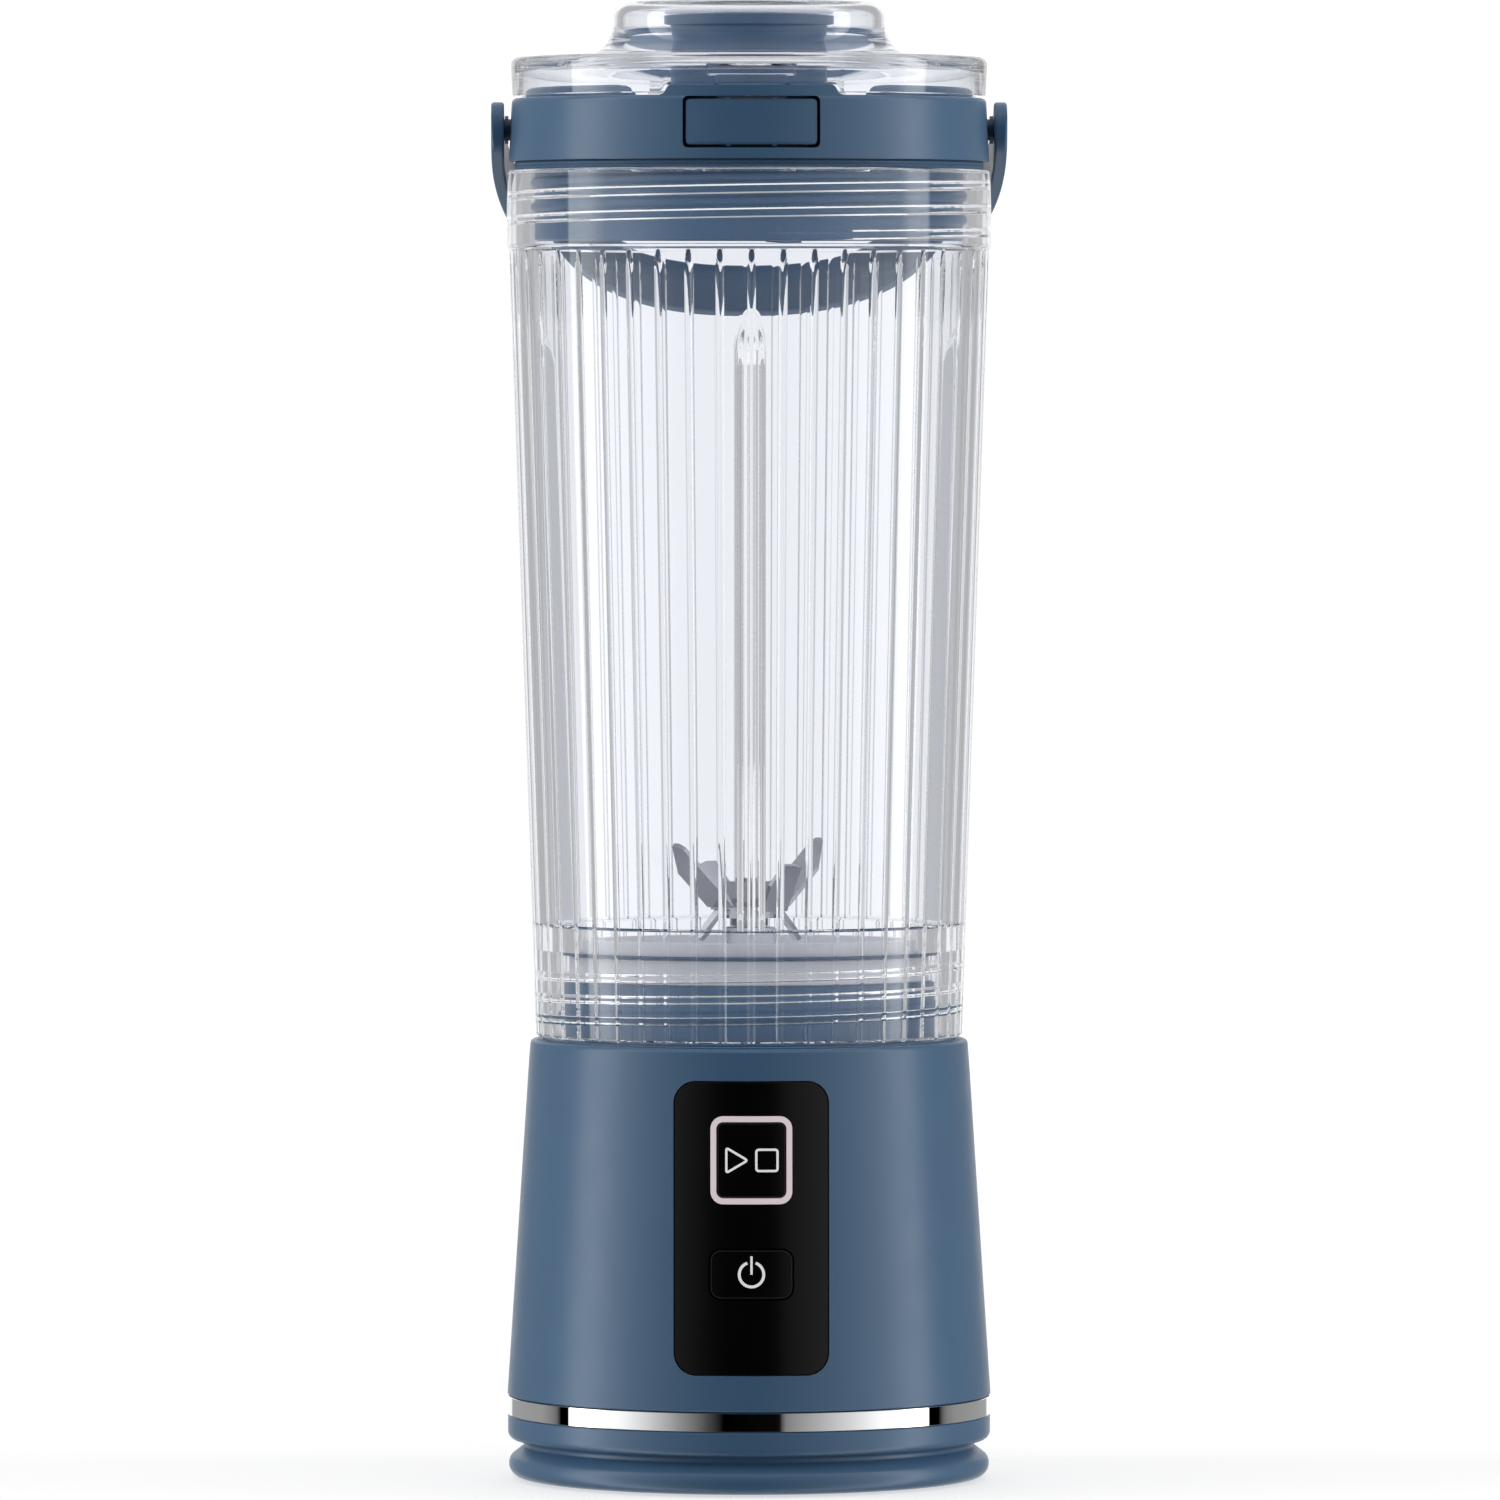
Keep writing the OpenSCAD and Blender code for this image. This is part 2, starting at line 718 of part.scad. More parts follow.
module flip_cover() {
    lug_x = hinge_w / 2 + 0.5;
    dome_in = dome_r - cover_wall;
    ceiling = cover_top - 1.6;
    color(clear) difference() {
        union() {
            difference() {
                revolve(concat(
                    [[flange_r - 2.1, cover_z], [flange_r - 0.3, cover_z]],
                    arc(flange_r - 1.5, flange_top - 1.5, 1.5, 0, 90, 5),
                    arc(dome_r + 6, flange_top + 6, 6, 270, 180, 8),
                    arc(dome_r - 3, cover_top - 3, 3, 0, 90, 6),
                    [[0, cover_top], [0, ceiling + 0.8], [seal_r + 0.05, ceiling + 0.8],
                        [seal_r + 0.05, ceiling]],
                    arc(dome_in - 1.4, ceiling - 1.4, 1.4, 90, 0, 4),
                    arc(dome_in + 4, flange_top - cover_wall + 4, 4, 180, 270, 6),
                    [[flange_r - 3, flange_top - cover_wall], [flange_r - 2.1, flange_top - cover_wall - 0.9]]
                ));
                translate([0, -30, 0]) rotate([90, 0, 0]) linear_extrude(20) tab_outline(0.4);
                translate([-lug_x, 40.4, 250]) cube([2 * lug_x, 10, 20]);
            }
            for (side = [0, 1]) mirror([side, 0, 0]) {
                translate([lug_x, hinge_y, hinge_z]) rotate([0, 90, 0])
                    cylinder(r = hinge_barrel, h = lug_w);
                translate([lug_x, 39.6, hinge_z - 2.6]) cube([lug_w, hinge_y - 39.6, 5.2]);
            }
            translate([-7.7, -42.4, 260.7]) cube([15.4, 1.6, 2.4]);
            translate([-6.25, -42.2, 252.8]) cube([12.5, 1.2, 9]);
            translate([-6.25, -41.4, 252.8]) cube([12.5, 0.9, 1]);
        }
        translate([-30, hinge_y, hinge_z]) rotate([0, 90, 0])
            cylinder(r = hinge_pin_r + 0.06, h = 60);
    }
}

module spout_seal() {
    color(silicone) translate([0, 0, spout_top + 0.15])
        cylinder(r = seal_r, h = cover_top - 1.6 + 0.75 - spout_top - 0.15);
}

module latch_button() {
    face_w = latch_w - 2 * latch_gap;
    face_h = latch_h - 2 * latch_gap;
    color(blue) {
        intersection() {
            tube(44.9, 42, 240, 260);
            front_slab(face_w, face_h, 0.8, latch_z, -60, -latch_back);
        }
        intersection() {
            tube(44.9, 40, 240, 260);
            difference() {
                front_slab(face_w, face_h, 0.8, latch_z, -60, -latch_end_back);
                translate([-7.4, -61, 240]) cube([14.8, 30, 20]);
            }
        }
        for (x = [-9.5, 8]) translate([x, -43.4, 253.8]) cube([1.5, 4.1, 1.8]);
        translate([-9.5, -40.3, 253.8]) cube([19, 1, 1.8]);
    }
}

module latch_springs() {
    color(steel) for (x = [-10.6, 10.6])
        translate([x, -pocket_back - 0.05, 250.4]) rotate([90, 0, 0])
            coil(1.2, 0.2, latch_end_back - latch_travel - pocket_back - 0.4, 4);
}

foot_pad();
bottom_cap();
bottom_screws();
battery_tray();
battery_cell_left();
battery_cell_right();
cell_tabs();
chrome_ring();
base_housing();
control_panel();
start_light_ring();
start_button();
power_button();
button_board();
start_switch();
power_switch();
charge_board();
usb_socket();
port_cover();
base_collar();
motor_can();
motor_magnets();
motor_endcap();
motor_screws();
motor_shaft();
armature();
commutator();
drive_coupling();
seat_screws();
blade_seat();
upper_bearing();
lower_bearing();
bearing_sleeve();
bearing_clip();
shaft_seal();
blade_shaft();
lower_washer();
low_blades();
short_blades();
long_blades();
upper_washer();
blade_nut();
jar_seal();
jar();
lid_seal();
lid_collar();
handle_pin_left();
handle_pin_right();
carry_handle();
hinge_pin();
flip_cover();
spout_seal();
latch_button();
latch_springs();
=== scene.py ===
import json
import math

import bmesh
import bpy
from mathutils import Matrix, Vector


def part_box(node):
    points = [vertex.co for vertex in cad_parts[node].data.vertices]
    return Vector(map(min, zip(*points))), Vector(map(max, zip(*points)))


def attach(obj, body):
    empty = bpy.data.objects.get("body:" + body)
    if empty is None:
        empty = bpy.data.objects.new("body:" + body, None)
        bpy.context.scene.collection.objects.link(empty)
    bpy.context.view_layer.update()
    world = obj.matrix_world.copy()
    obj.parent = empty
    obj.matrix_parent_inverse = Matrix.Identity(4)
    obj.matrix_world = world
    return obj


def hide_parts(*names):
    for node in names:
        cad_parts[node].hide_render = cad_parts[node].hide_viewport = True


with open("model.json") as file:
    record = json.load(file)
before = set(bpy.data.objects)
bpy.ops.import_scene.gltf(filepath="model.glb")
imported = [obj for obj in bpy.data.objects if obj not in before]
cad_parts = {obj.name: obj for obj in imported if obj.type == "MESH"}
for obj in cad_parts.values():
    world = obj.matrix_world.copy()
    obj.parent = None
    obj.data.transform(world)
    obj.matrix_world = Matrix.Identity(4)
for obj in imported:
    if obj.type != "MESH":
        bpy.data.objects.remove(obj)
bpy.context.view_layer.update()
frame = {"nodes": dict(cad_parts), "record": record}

NODES = frame["nodes"]
MM = 0.001

# ---------------------------------------------------------------- sizes, in millimetres

def top(node):
    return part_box(node)[1][2] / MM


def bottom(node):
    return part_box(node)[0][2] / MM


def radius(node):
    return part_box(node)[1][0] / MM


# Base
BASE_H = top("base_housing")
HOUSING_Z = bottom("base_housing")
BASE_R = radius("base_housing") - 0.01
BASE_TOP_R = 40.8
RING_R = 45.0
CAP_TOP = 11.9
PANEL_T = 1.6
PANEL_W = 28.3
PANEL_H = 53.7
PANEL_Z = 49.3
START_W = 15.0
START_H = 16.1
START_Z = 61.8
START_RIM = 1.05
POWER_W = 15.4
POWER_H = 9.2
POWER_Z = 40.9
PORT_W = 13.0
PORT_H = 7.4
PORT_Z = 31.6
PORT_HINGE_Y = 43.8
PORT_HINGE_Z = 28.4
SHELL_WALL = 2.4
DECK_Z = 79.4
# Jar
JAR_TOP = top("jar")
JAR_FOOT = bottom("jar")
MOUTH_R = radius("jar")
JAR_FOOT_R = 39.8
TAPER_TOP = 229.0
TAPER_TOP_R = MOUTH_R - 0.3
MOUTH_BORE = 41.0
MOUTH_STEP = 230.0
INNER_HIGH = 40.3
INNER_LOW = 36.8
LEDGE = 103.6
LEDGE_UNDER = 98.9
LEDGE_BORE = 31.6
THREAD_BORE = 36.0
GROOVES = 48
GROOVE_R = 42.0
GROOVE_W = 1.5
GROOVE_DEPTH = 0.43
GROOVE_RAMP = 5.0
RIB_W = 5.4
RIB_TOP = 219.0
RIB_DEPTH = 4.0
RIB_NOSE = 9.0
RIB_FADE = 11.5
# Lid, cover and handle
DECK = 257.2
PLUG_Z = bottom("lid_collar")
PLUG_R = 39.9
COLLAR_Z = 245.5
COLLAR_LOW_R = radius("lid_collar")
COLLAR_HIGH_R = 44.2
SPOUT_R = 15.8
SPOUT_BORE = 12.0
SPOUT_TOP = 273.2
NECK_R = 14.6
TAB_W = 29.8
TAB_TOP = 259.2
LATCH_Z = 252.2
LATCH_W = 24.0
LATCH_H = 8.3
HINGE_Y = 44.5
HINGE_Z = 261.6
HINGE_R = 3.1
HINGE_W = 29.0
LUG_W = 4.0
COVER_Z = DECK + 0.4
COVER_TOP = top("flip_cover")
FLANGE_R = 44.4
FLANGE_TOP = 264.9
DOME_R = 25.5
COVER_WALL = 2.0
SEAL_R = 13.2
PIVOT_Z = 251.4
STRAP_X = 46.8
STRAP_T = 2.39
STRAP_W = 10.3
REACH = 57.4
HANG = math.radians(30.9)
# Threads
LID_PITCH = 4.4
JAR_PITCH = 4.0
BOSS_R = 34.6
BOSS_TOP = top("base_collar")

# Brightness of the studio: its brightest band, its white backdrop, straight above, and the least that is
# seen in a smooth surface, straight through clear plastic, and through clear plastic after a reflection.
PEAK = 4.2
BACKDROP = 1.07
OVERHEAD = 0.88
MIRROR_LOW = 0.12
THROUGH_LOW = 0.66
MIRRORED_LOW = 0.48


def housing_r(z):
    return BASE_R - (z - HOUSING_Z) * (BASE_R - BASE_TOP_R) / (BASE_H - HOUSING_Z)


def jar_outer(z):
    if z > TAPER_TOP:
        return TAPER_TOP_R + (MOUTH_R - TAPER_TOP_R) * min(1, (z - TAPER_TOP) / 0.4)
    return JAR_FOOT_R + (z - JAR_FOOT) * (TAPER_TOP_R - JAR_FOOT_R) / (TAPER_TOP - JAR_FOOT)


def jar_inner(z):
    return INNER_LOW + (z - LEDGE) * (INNER_HIGH - INNER_LOW) / (MOUTH_STEP - LEDGE)


# ---------------------------------------------------------------- mesh helpers

def arc(cx, cy, r, start, end, steps):
    angles = [math.radians(start + (end - start) * i / steps) for i in range(steps + 1)]
    return [(cx + r * math.cos(a), cy + r * math.sin(a)) for a in angles]


def rounded_outline(w, h, r, steps=8):
    """Points of a rounded rectangle about the origin, anticlockwise."""
    points = []
    for sx, sy, start in ((1, 1, 0), (-1, 1, 90), (-1, -1, 180), (1, -1, 270)):
        points += arc(sx * (w / 2 - r), sy * (h / 2 - r), r, start, start + 90, steps)
    return points


def make_object(name, vertices, faces):
    """Closed mesh object from millimetre coordinates."""
    mesh = bpy.data.meshes.new(name)
    mesh.from_pydata([tuple(c * MM for c in v) for v in vertices], [], faces)
    obj = bpy.data.objects.new(name, mesh)
    bpy.context.scene.collection.objects.link(obj)
    bm = bmesh.new()
    bm.from_mesh(mesh)
    bmesh.ops.remove_doubles(bm, verts=bm.verts, dist=1e-7)
    bmesh.ops.recalc_face_normals(bm, faces=bm.faces)
    bm.to_mesh(mesh)
    bm.free()
    return obj


def revolved(name, profile, columns=192):
    """Solid of revolution from a closed (r, z) profile."""
    rows = len(profile)
    vertices = []
    for i in range(columns):
        a = 2 * math.pi * i / columns
        vertices += [(r * math.cos(a), r * math.sin(a), z) for r, z in profile]
    faces = []
    for i in range(columns):
        j = (i + 1) % columns
        for k in range(rows):
            m = (k + 1) % rows
            if profile[k][0] > 1e-6 or profile[m][0] > 1e-6:
                faces.append([i * rows + k, j * rows + k, j * rows + m, i * rows + m])
    obj = make_object(name, vertices, faces)
    bm = bmesh.new()
    bm.from_mesh(obj.data)
    bmesh.ops.dissolve_degenerate(bm, edges=bm.edges, dist=1e-7)
    bm.to_mesh(obj.data)
    bm.free()
    return obj


def prism(name, outline, y_near, y_far, flare=0.0, z=0.0):
    """Upright prism along Y from an (x, z) outline. flare widens it towards y_near."""
    count = len(outline)
    span_x = max(abs(x) for x, _ in outline)
    span_z = max(abs(h) for _, h in outline)
    vertices = []
    for y, grow in ((y_near, flare), (y_far, 0.0)):
        for x, h in outline:
            vertices.append((x * (1 + grow / span_x), y, z + h * (1 + grow / span_z)))
    faces = [list(range(count)), list(range(2 * count - 1, count - 1, -1))]
    for i in range(count):
        j = (i + 1) % count
        faces.append([i, count + i, count + j, j])
    return make_object(name, vertices, faces)


def box_mesh(name, low, high):
    x0, y0, z0 = low
    x1, y1, z1 = high
    return prism(name, [(x0, z0), (x1, z0), (x1, z1), (x0, z1)], y0, y1)


def rod_x(name, x0, x1, y, z, r, steps=48):
    """Round bar along X."""
    ring = arc(y, z, r, 0, 360 - 360 / steps, steps - 1)
    vertices = [(x, b, c) for x in (x0, x1) for b, c in ring]
    faces = [list(range(steps)), list(range(2 * steps - 1, steps - 1, -1))]
    for i in range(steps):
        j = (i + 1) % steps
        faces.append([i, j, steps + j, steps + i])
    return make_object(name, vertices, faces)


def combine(obj, others, operation):
    """Exact boolean of obj with each of the others, which are used up."""
    for other in others:
        modifier = obj.modifiers.new("combine", "BOOLEAN")
        modifier.operation = operation
        modifier.solver = "EXACT"
        modifier.object = other
        bpy.context.view_layer.update()
        result = bpy.data.meshes.new_from_object(obj.evaluated_get(bpy.context.evaluated_depsgraph_get()))
        obj.modifiers.clear()
        obj.data = result
        bpy.data.objects.remove(other)
    return obj


def carve(obj, *cutters):
    return combine(obj, cutters, "DIFFERENCE")


def weld(obj, *others):
    return combine(obj, others, "UNION")


def smooth(obj, sharp=32.0, turned=True):
    """Smooth shading whose normals follow the turned form, with creases above the sharp angle.

    On a turned surface each corner takes the face's own slope at the corner's own azimuth, so that long
    faces left by a cut still shade as a true cylinder or cone.
    """
    mesh = obj.data
    limit = math.cos(math.radians(sharp))
    fans = [[] for _ in mesh.vertices]
    own = {}
    for poly in mesh.polygons:
        n = poly.normal
        c = poly.center
        around = math.hypot(c.x, c.y)
        radial = (c.x / around, c.y / around) if around > 1e-6 else (1.0, 0.0)
        nr = n.x * radial[0] + n.y * radial[1]
        nt = -n.x * radial[1] + n.y * radial[0]
        follows = turned and abs(nt) < 0.12 and abs(nr) > 0.02
        for li in poly.loop_indices:
            vi = mesh.loops[li].vertex_index
            v = mesh.vertices[vi].co
            d = math.hypot(v.x, v.y)
            if follows and d > 1e-6:
                corner = Vector((nr * v.x / d, nr * v.y / d, n.z)).normalized()
            else:
                corner = n.copy()
            own[li] = corner
            fans[vi].append((corner, poly.area))
    normals = [None] * len(mesh.loops)
    for poly in mesh.polygons:
        for li in poly.loop_indices:
            corner = own[li]
            total = Vector((0, 0, 0))
            for other, area in fans[mesh.loops[li].vertex_index]:
                if other.dot(corner) > limit:
                    total += other * (area + 1e-12)
            normals[li] = total.normalized() if total.length > 0 else corner
    mesh.shade_smooth()
    mesh.normals_split_custom_set([tuple(n) for n in normals])
    return obj


def finish_piece(obj, look, body, *nodes, slot=None):
    """Gives a piece its material, the body it rides on and the CAD nodes it stands for. slot is not used."""
    obj.data.materials.clear()
    obj.data.materials.append(M[look])
    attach(obj, body)
    if nodes:
        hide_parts(*nodes)


# ---------------------------------------------------------------- materials

def new_material(name):
    material = bpy.data.materials.new(name)
    material.use_nodes = True
    tree = material.node_tree
    return material, tree.nodes, tree.links, tree.nodes["Principled BSDF"]


def mapped_noise(nodes, links, scale, detail=4.0, stretch=(1, 1, 1)):
    coords = nodes.new("ShaderNodeTexCoord")
    mapping = nodes.new("ShaderNodeMapping")
    mapping.inputs["Scale"].default_value = stretch
    noise = nodes.new("ShaderNodeTexNoise")
    noise.inputs["Scale"].default_value = scale
    noise.inputs["Detail"].default_value = detail
    links.new(coords.outputs["Object"], mapping.inputs["Vector"])
    links.new(mapping.outputs["Vector"], noise.inputs["Vector"])
    return noise


def between(nodes, links, source, low, high):
    """Maps a 0..1 value to low..high."""
    node = nodes.new("ShaderNodeMapRange")
    node.inputs["From Min"].default_value = 0.3
    node.inputs["From Max"].default_value = 0.7
    node.inputs["To Min"].default_value = low
    node.inputs["To Max"].default_value = high
    links.new(source, node.inputs["Value"])
    return node.outputs["Result"]


def tinted(nodes, links, source, dark, light):
    mix = nodes.new("ShaderNodeMix")
    mix.data_type = "RGBA"
    mix.inputs["A"].default_value = (*dark, 1)
    mix.inputs["B"].default_value = (*light, 1)
    links.new(source, mix.inputs["Factor"])
    return mix.outputs["Result"]


def bumped(nodes, links, shader, height, strength, distance):
    bump = nodes.new("ShaderNodeBump")
    bump.inputs["Strength"].default_value = strength
    bump.inputs["Distance"].default_value = distance
    links.new(height, bump.inputs["Height"])
    links.new(bump.outputs["Normal"], shader.inputs["Normal"])


def moulded(name, colour, rough, grain=9000, grain_depth=0.1, ior=1.5, sheen=0.0):
    """Moulded plastic or rubber: faint mottling, uneven gloss and a fine spark-eroded grain."""
    material, nodes, links, shader = new_material(name)
    mottle = mapped_noise(nodes, links, 45, 3)
    dark = [c * 0.94 for c in colour]
    light = [min(1, c * 1.06) for c in colour]
    links.new(tinted(nodes, links, mottle.outputs["Fac"], dark, light), shader.inputs["Base Color"])
    uneven = mapped_noise(nodes, links, 160, 5)
    gloss = between(nodes, links, uneven.outputs["Fac"], rough - 0.03, rough + 0.03)
    links.new(gloss, shader.inputs["Roughness"])
    grain_noise = mapped_noise(nodes, links, grain, 2)
    bumped(nodes, links, shader, grain_noise.outputs["Fac"], grain_depth, 0.00002)
    shader.inputs["IOR"].default_value = ior
    shader.inputs["Sheen Weight"].default_value = sheen
    shader.inputs["Sheen Roughness"].default_value = 0.25
    return material


def metal(name, colour, rough, brush=(1, 1, 1), scale=900, depth=0.05, spread=0.05):
    """Bare or plated metal with fine brushing stretched along one direction."""
    material, nodes, links, shader = new_material(name)
    shader.inputs["Metallic"].default_value = 1.0
    streaks = mapped_noise(nodes, links, scale, 4, brush)
    dark = [c * (1 - spread) for c in colour]
    light = [min(1, c * (1 + spread)) for c in colour]
    links.new(tinted(nodes, links, streaks.outputs["Fac"], dark, light), shader.inputs["Base Color"])
    links.new(between(nodes, links, streaks.outputs["Fac"], max(0.02, rough * 0.8), rough * 1.2),
              shader.inputs["Roughness"])
    bumped(nodes, links, shader, streaks.outputs["Fac"], depth, 0.00002)
    return material


def clear_plastic(name, tint, ior):
    """Clear moulded plastic. Shadow rays pass straight through, so that lamps light what is inside."""
    material, nodes, links, shader = new_material(name)
    waves = mapped_noise(nodes, links, 60, 2, (1, 1, 0.25))
    low = [c * 0.99 for c in tint]
    links.new(tinted(nodes, links, waves.outputs["Fac"], low, tint), shader.inputs["Base Color"])
    shader.inputs["Roughness"].default_value = 0.0
    shader.inputs["Transmission Weight"].default_value = 1.0
    shader.inputs["IOR"].default_value = ior
    bumped(nodes, links, shader, waves.outputs["Fac"], 0.01, 0.00005)
    through = nodes.new("ShaderNodeBsdfTransparent")
    through.inputs["Color"].default_value = (0.93, 0.94, 0.96, 1)
    path = nodes.new("ShaderNodeLightPath")
    mix = nodes.new("ShaderNodeMixShader")
    links.new(path.outputs["Is Shadow Ray"], mix.inputs["Fac"])
    links.new(shader.outputs["BSDF"], mix.inputs[1])
    links.new(through.outputs["BSDF"], mix.inputs[2])
    links.new(mix.outputs["Shader"], nodes["Material Output"].inputs["Surface"])
    return material


def printed(name, colour, glow):
    """Screen-printed ink or a light guide, with slight ink thickness variation. glow sets the emission: the
    light guide's own lit glow, and on ink a painted glow.
    """
    material, nodes, links, shader = new_material(name)
    ink = mapped_noise(nodes, links, 2500, 2)
    colours = tinted(nodes, links, ink.outputs["Fac"], [c * 0.95 for c in colour], colour)
    links.new(colours, shader.inputs["Base Color"])
    links.new(colours, shader.inputs["Emission Color"])
    shader.inputs["Emission Strength"].default_value = glow
    shader.inputs["Roughness"].default_value = 0.4
    return material


BLUE = [0.063, 0.144, 0.258]
M = {
    "satin_blue": moulded("satin_blue", BLUE, 0.36, 9000, 0.12, sheen=0.12),
    "blue_silicone": moulded("blue_silicone", [c * 0.85 for c in BLUE], 0.5, 6000, 0.15),
    "clear_plastic": clear_plastic("clear_plastic", (0.925, 0.937, 0.967), ior=1.45),
    "clear_silicone": moulded("clear_silicone", [0.45, 0.47, 0.5], 0.35, 5000, 0.1),
    "chrome_trim": metal("chrome_trim", [0.85, 0.855, 0.865], 0.015, (1, 1, 1), 300, 0.0, 0.01),
    "black_gloss": moulded("black_gloss", [0.0025, 0.0025, 0.0027], 0.2, 3000, 0.0, ior=1.38),
    "light_guide": printed("light_guide", [0.80, 0.68, 0.71], 0.3),
    # white ink with a painted glow from its emission
    "white_print": printed("white_print", [0.85, 0.86, 0.88], 0.32),
    "black_plastic": moulded("black_plastic", [0.012, 0.012, 0.013], 0.45),
    "black_rubber": moulded("black_rubber", [0.018, 0.018, 0.018], 0.7, 4000, 0.25),
    "grey_plastic": moulded("grey_plastic", [0.74, 0.752, 0.785], 0.32, 7000, 0.08),
    "blade_steel": metal("blade_steel", [0.47, 0.48, 0.51], 0.13, (1, 8, 1), 900, 0.02, 0.03),
    "bright_steel": metal("bright_steel", [0.62, 0.62, 0.63], 0.2, (1, 1, 10), 500, 0.05),
    "circuit_board": moulded("circuit_board", [0.01, 0.10, 0.05], 0.3, 2500, 0.3),
    "cell_wrap": moulded("cell_wrap", [0.03, 0.22, 0.13], 0.3),
    "magnet": moulded("magnet", [0.05, 0.05, 0.055], 0.55, 3000, 0.3),
    "copper": metal("copper", [0.72, 0.36, 0.2], 0.28, (1, 1, 12), 600),
    "winding": metal("winding", [0.5, 0.22, 0.09], 0.4, (1, 1, 14), 700, 0.2),
}
for entry in frame["record"]["subparts"]:
    node = NODES[entry["node"]]
    node.data.materials.clear()
    node.data.materials.append(M[entry["material_slot"]])


# ---------------------------------------------------------------- base

def front_patch(name, w, h, r, z_mid, lift, depth, bevel, side=-1, columns=40, rows=24):
    """Rounded-rectangle piece let into the tapered housing: its face follows the housing at a height of
    lift above it, its back lies depth below the housing, and its rim has a small bevel."""
    def xs(width, radius_):
        flat = width / 2 - radius_
        corner = [flat + radius_ * math.sin(math.pi / 2 * i / 8) for i in range(1, 9)]
        middle = [flat * (2 * i / (columns - 16) - 1) for i in range(columns - 15)]
        return [-c for c in reversed(corner)] + middle + corner

    def half_height(x, width, height, radius_):
        over = max(0.0, abs(x) - (width / 2 - radius_))
        return height / 2 - radius_ + math.sqrt(max(0.0, radius_ ** 2 - over ** 2))

    layers = [(w - 2 * bevel, h - 2 * bevel, max(0.05, r - bevel), lift), (w, h, r, lift - bevel),
              (w, h, r, -depth)]
    vertices, grids = [], []
    for width, height, radius_, level in layers:
        grid = []
        for x in xs(width, radius_):
            half = half_height(x, width, height, radius_)
            column = []
            for k in range(rows + 1):
                z = z_mid + half * (2 * k / rows - 1)
                y = side * math.sqrt((housing_r(z) + level) ** 2 - x * x)
                column.append(len(vertices))
                vertices.append((x, y, z))
            grid.append(column)
        grids.append(grid)
    faces = []
    last = len(grids[0]) - 1
    for grid, flip in ((grids[0], False), (grids[2], True)):
        for i in range(last):
            for k in range(rows):
                quad = [grid[i][k], grid[i + 1][k], grid[i + 1][k + 1], grid[i][k + 1]]
                faces.append(quad[::-1] if flip else quad)

    def rim(grid):
        loop = [grid[i][0] for i in range(last + 1)] + [grid[last][k] for k in range(1, rows + 1)]
        loop += [grid[i][rows] for i in range(last - 1, -1, -1)]
        return loop + [grid[0][k] for k in range(rows - 1, 0, -1)]

    for a, b in ((grids[0], grids[1]), (grids[1], grids[2])):
        upper, lower = rim(a), rim(b)
        for i in range(len(upper)):
            j = (i + 1) % len(upper)
            faces.append([upper[i], lower[i], lower[j], upper[j]])
    return make_object(name, vertices, faces)


def behind_front(z0, z1):
    """Ring whose outer face lies one panel thickness under the housing's, to stop a cutter at that depth."""
    r0, r1 = housing_r(z0) - PANEL_T, housing_r(z1) - PANEL_T
    return revolved("keep", [(20, z0), (r0, z0), (r1, z1), (20, z1)], 240)


def front_cut(w, h, r, z, steps=8, side=-1):
    """Rounded-rectangle cutter through one wall of the housing, at the front (side -1) or the back (1)."""
    y_near, y_far = (-60, -20) if side < 0 else (20, 60)
    return prism("cut", rounded_outline(w, h, r, steps), y_near, y_far, 0, z)


def build_housing():
    inner = [(38.4, BASE_H), (38.4, DECK_Z), (36.0, DECK_Z), (36.0, DECK_Z - 2),
             (housing_r(DECK_Z - 2) - SHELL_WALL, 75.2), (housing_r(HOUSING_Z) - SHELL_WALL, HOUSING_Z)]
    outer = [(BASE_R - 0.25, HOUSING_Z), (BASE_R, HOUSING_Z + 0.25)]
    outer += [(housing_r(z), z) for z in (22, 30, 40, 50, 60, 70, 78)]
    outer += arc(BASE_TOP_R - 0.8, BASE_H - 0.8, 0.8, 4, 90, 8)
    obj = revolved("base_housing_shell", outer + inner, 240)
    z0, z1 = HOUSING_Z - 4, BASE_H + 4
    recess = carve(front_cut(PANEL_W + 0.3, PANEL_H + 0.3, 4.15, PANEL_Z, 12), behind_front(z0, z1))
    port = carve(front_cut(PORT_W + 0.4, PORT_H + 0.4, 2, PORT_Z, side=1), behind_front(z0, z1))
    carve(obj, recess, front_cut(START_W + 2, START_H + 2, 3, START_Z),
          front_cut(POWER_W + 2, POWER_H + 2, 3, POWER_Z), port, front_cut(10.4, 4.8, 2.2, PORT_Z, side=1))
    finish_piece(smooth(obj), "satin_blue", "base", "base_housing")


def button_stem(node, y_front, z):
    """Square stem from a button's back to the inner end of its CAD node."""
    return box_mesh("stem", (-1.5, y_front, z - 1.5), (1.5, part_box(node)[1][1] / MM, z + 1.5))


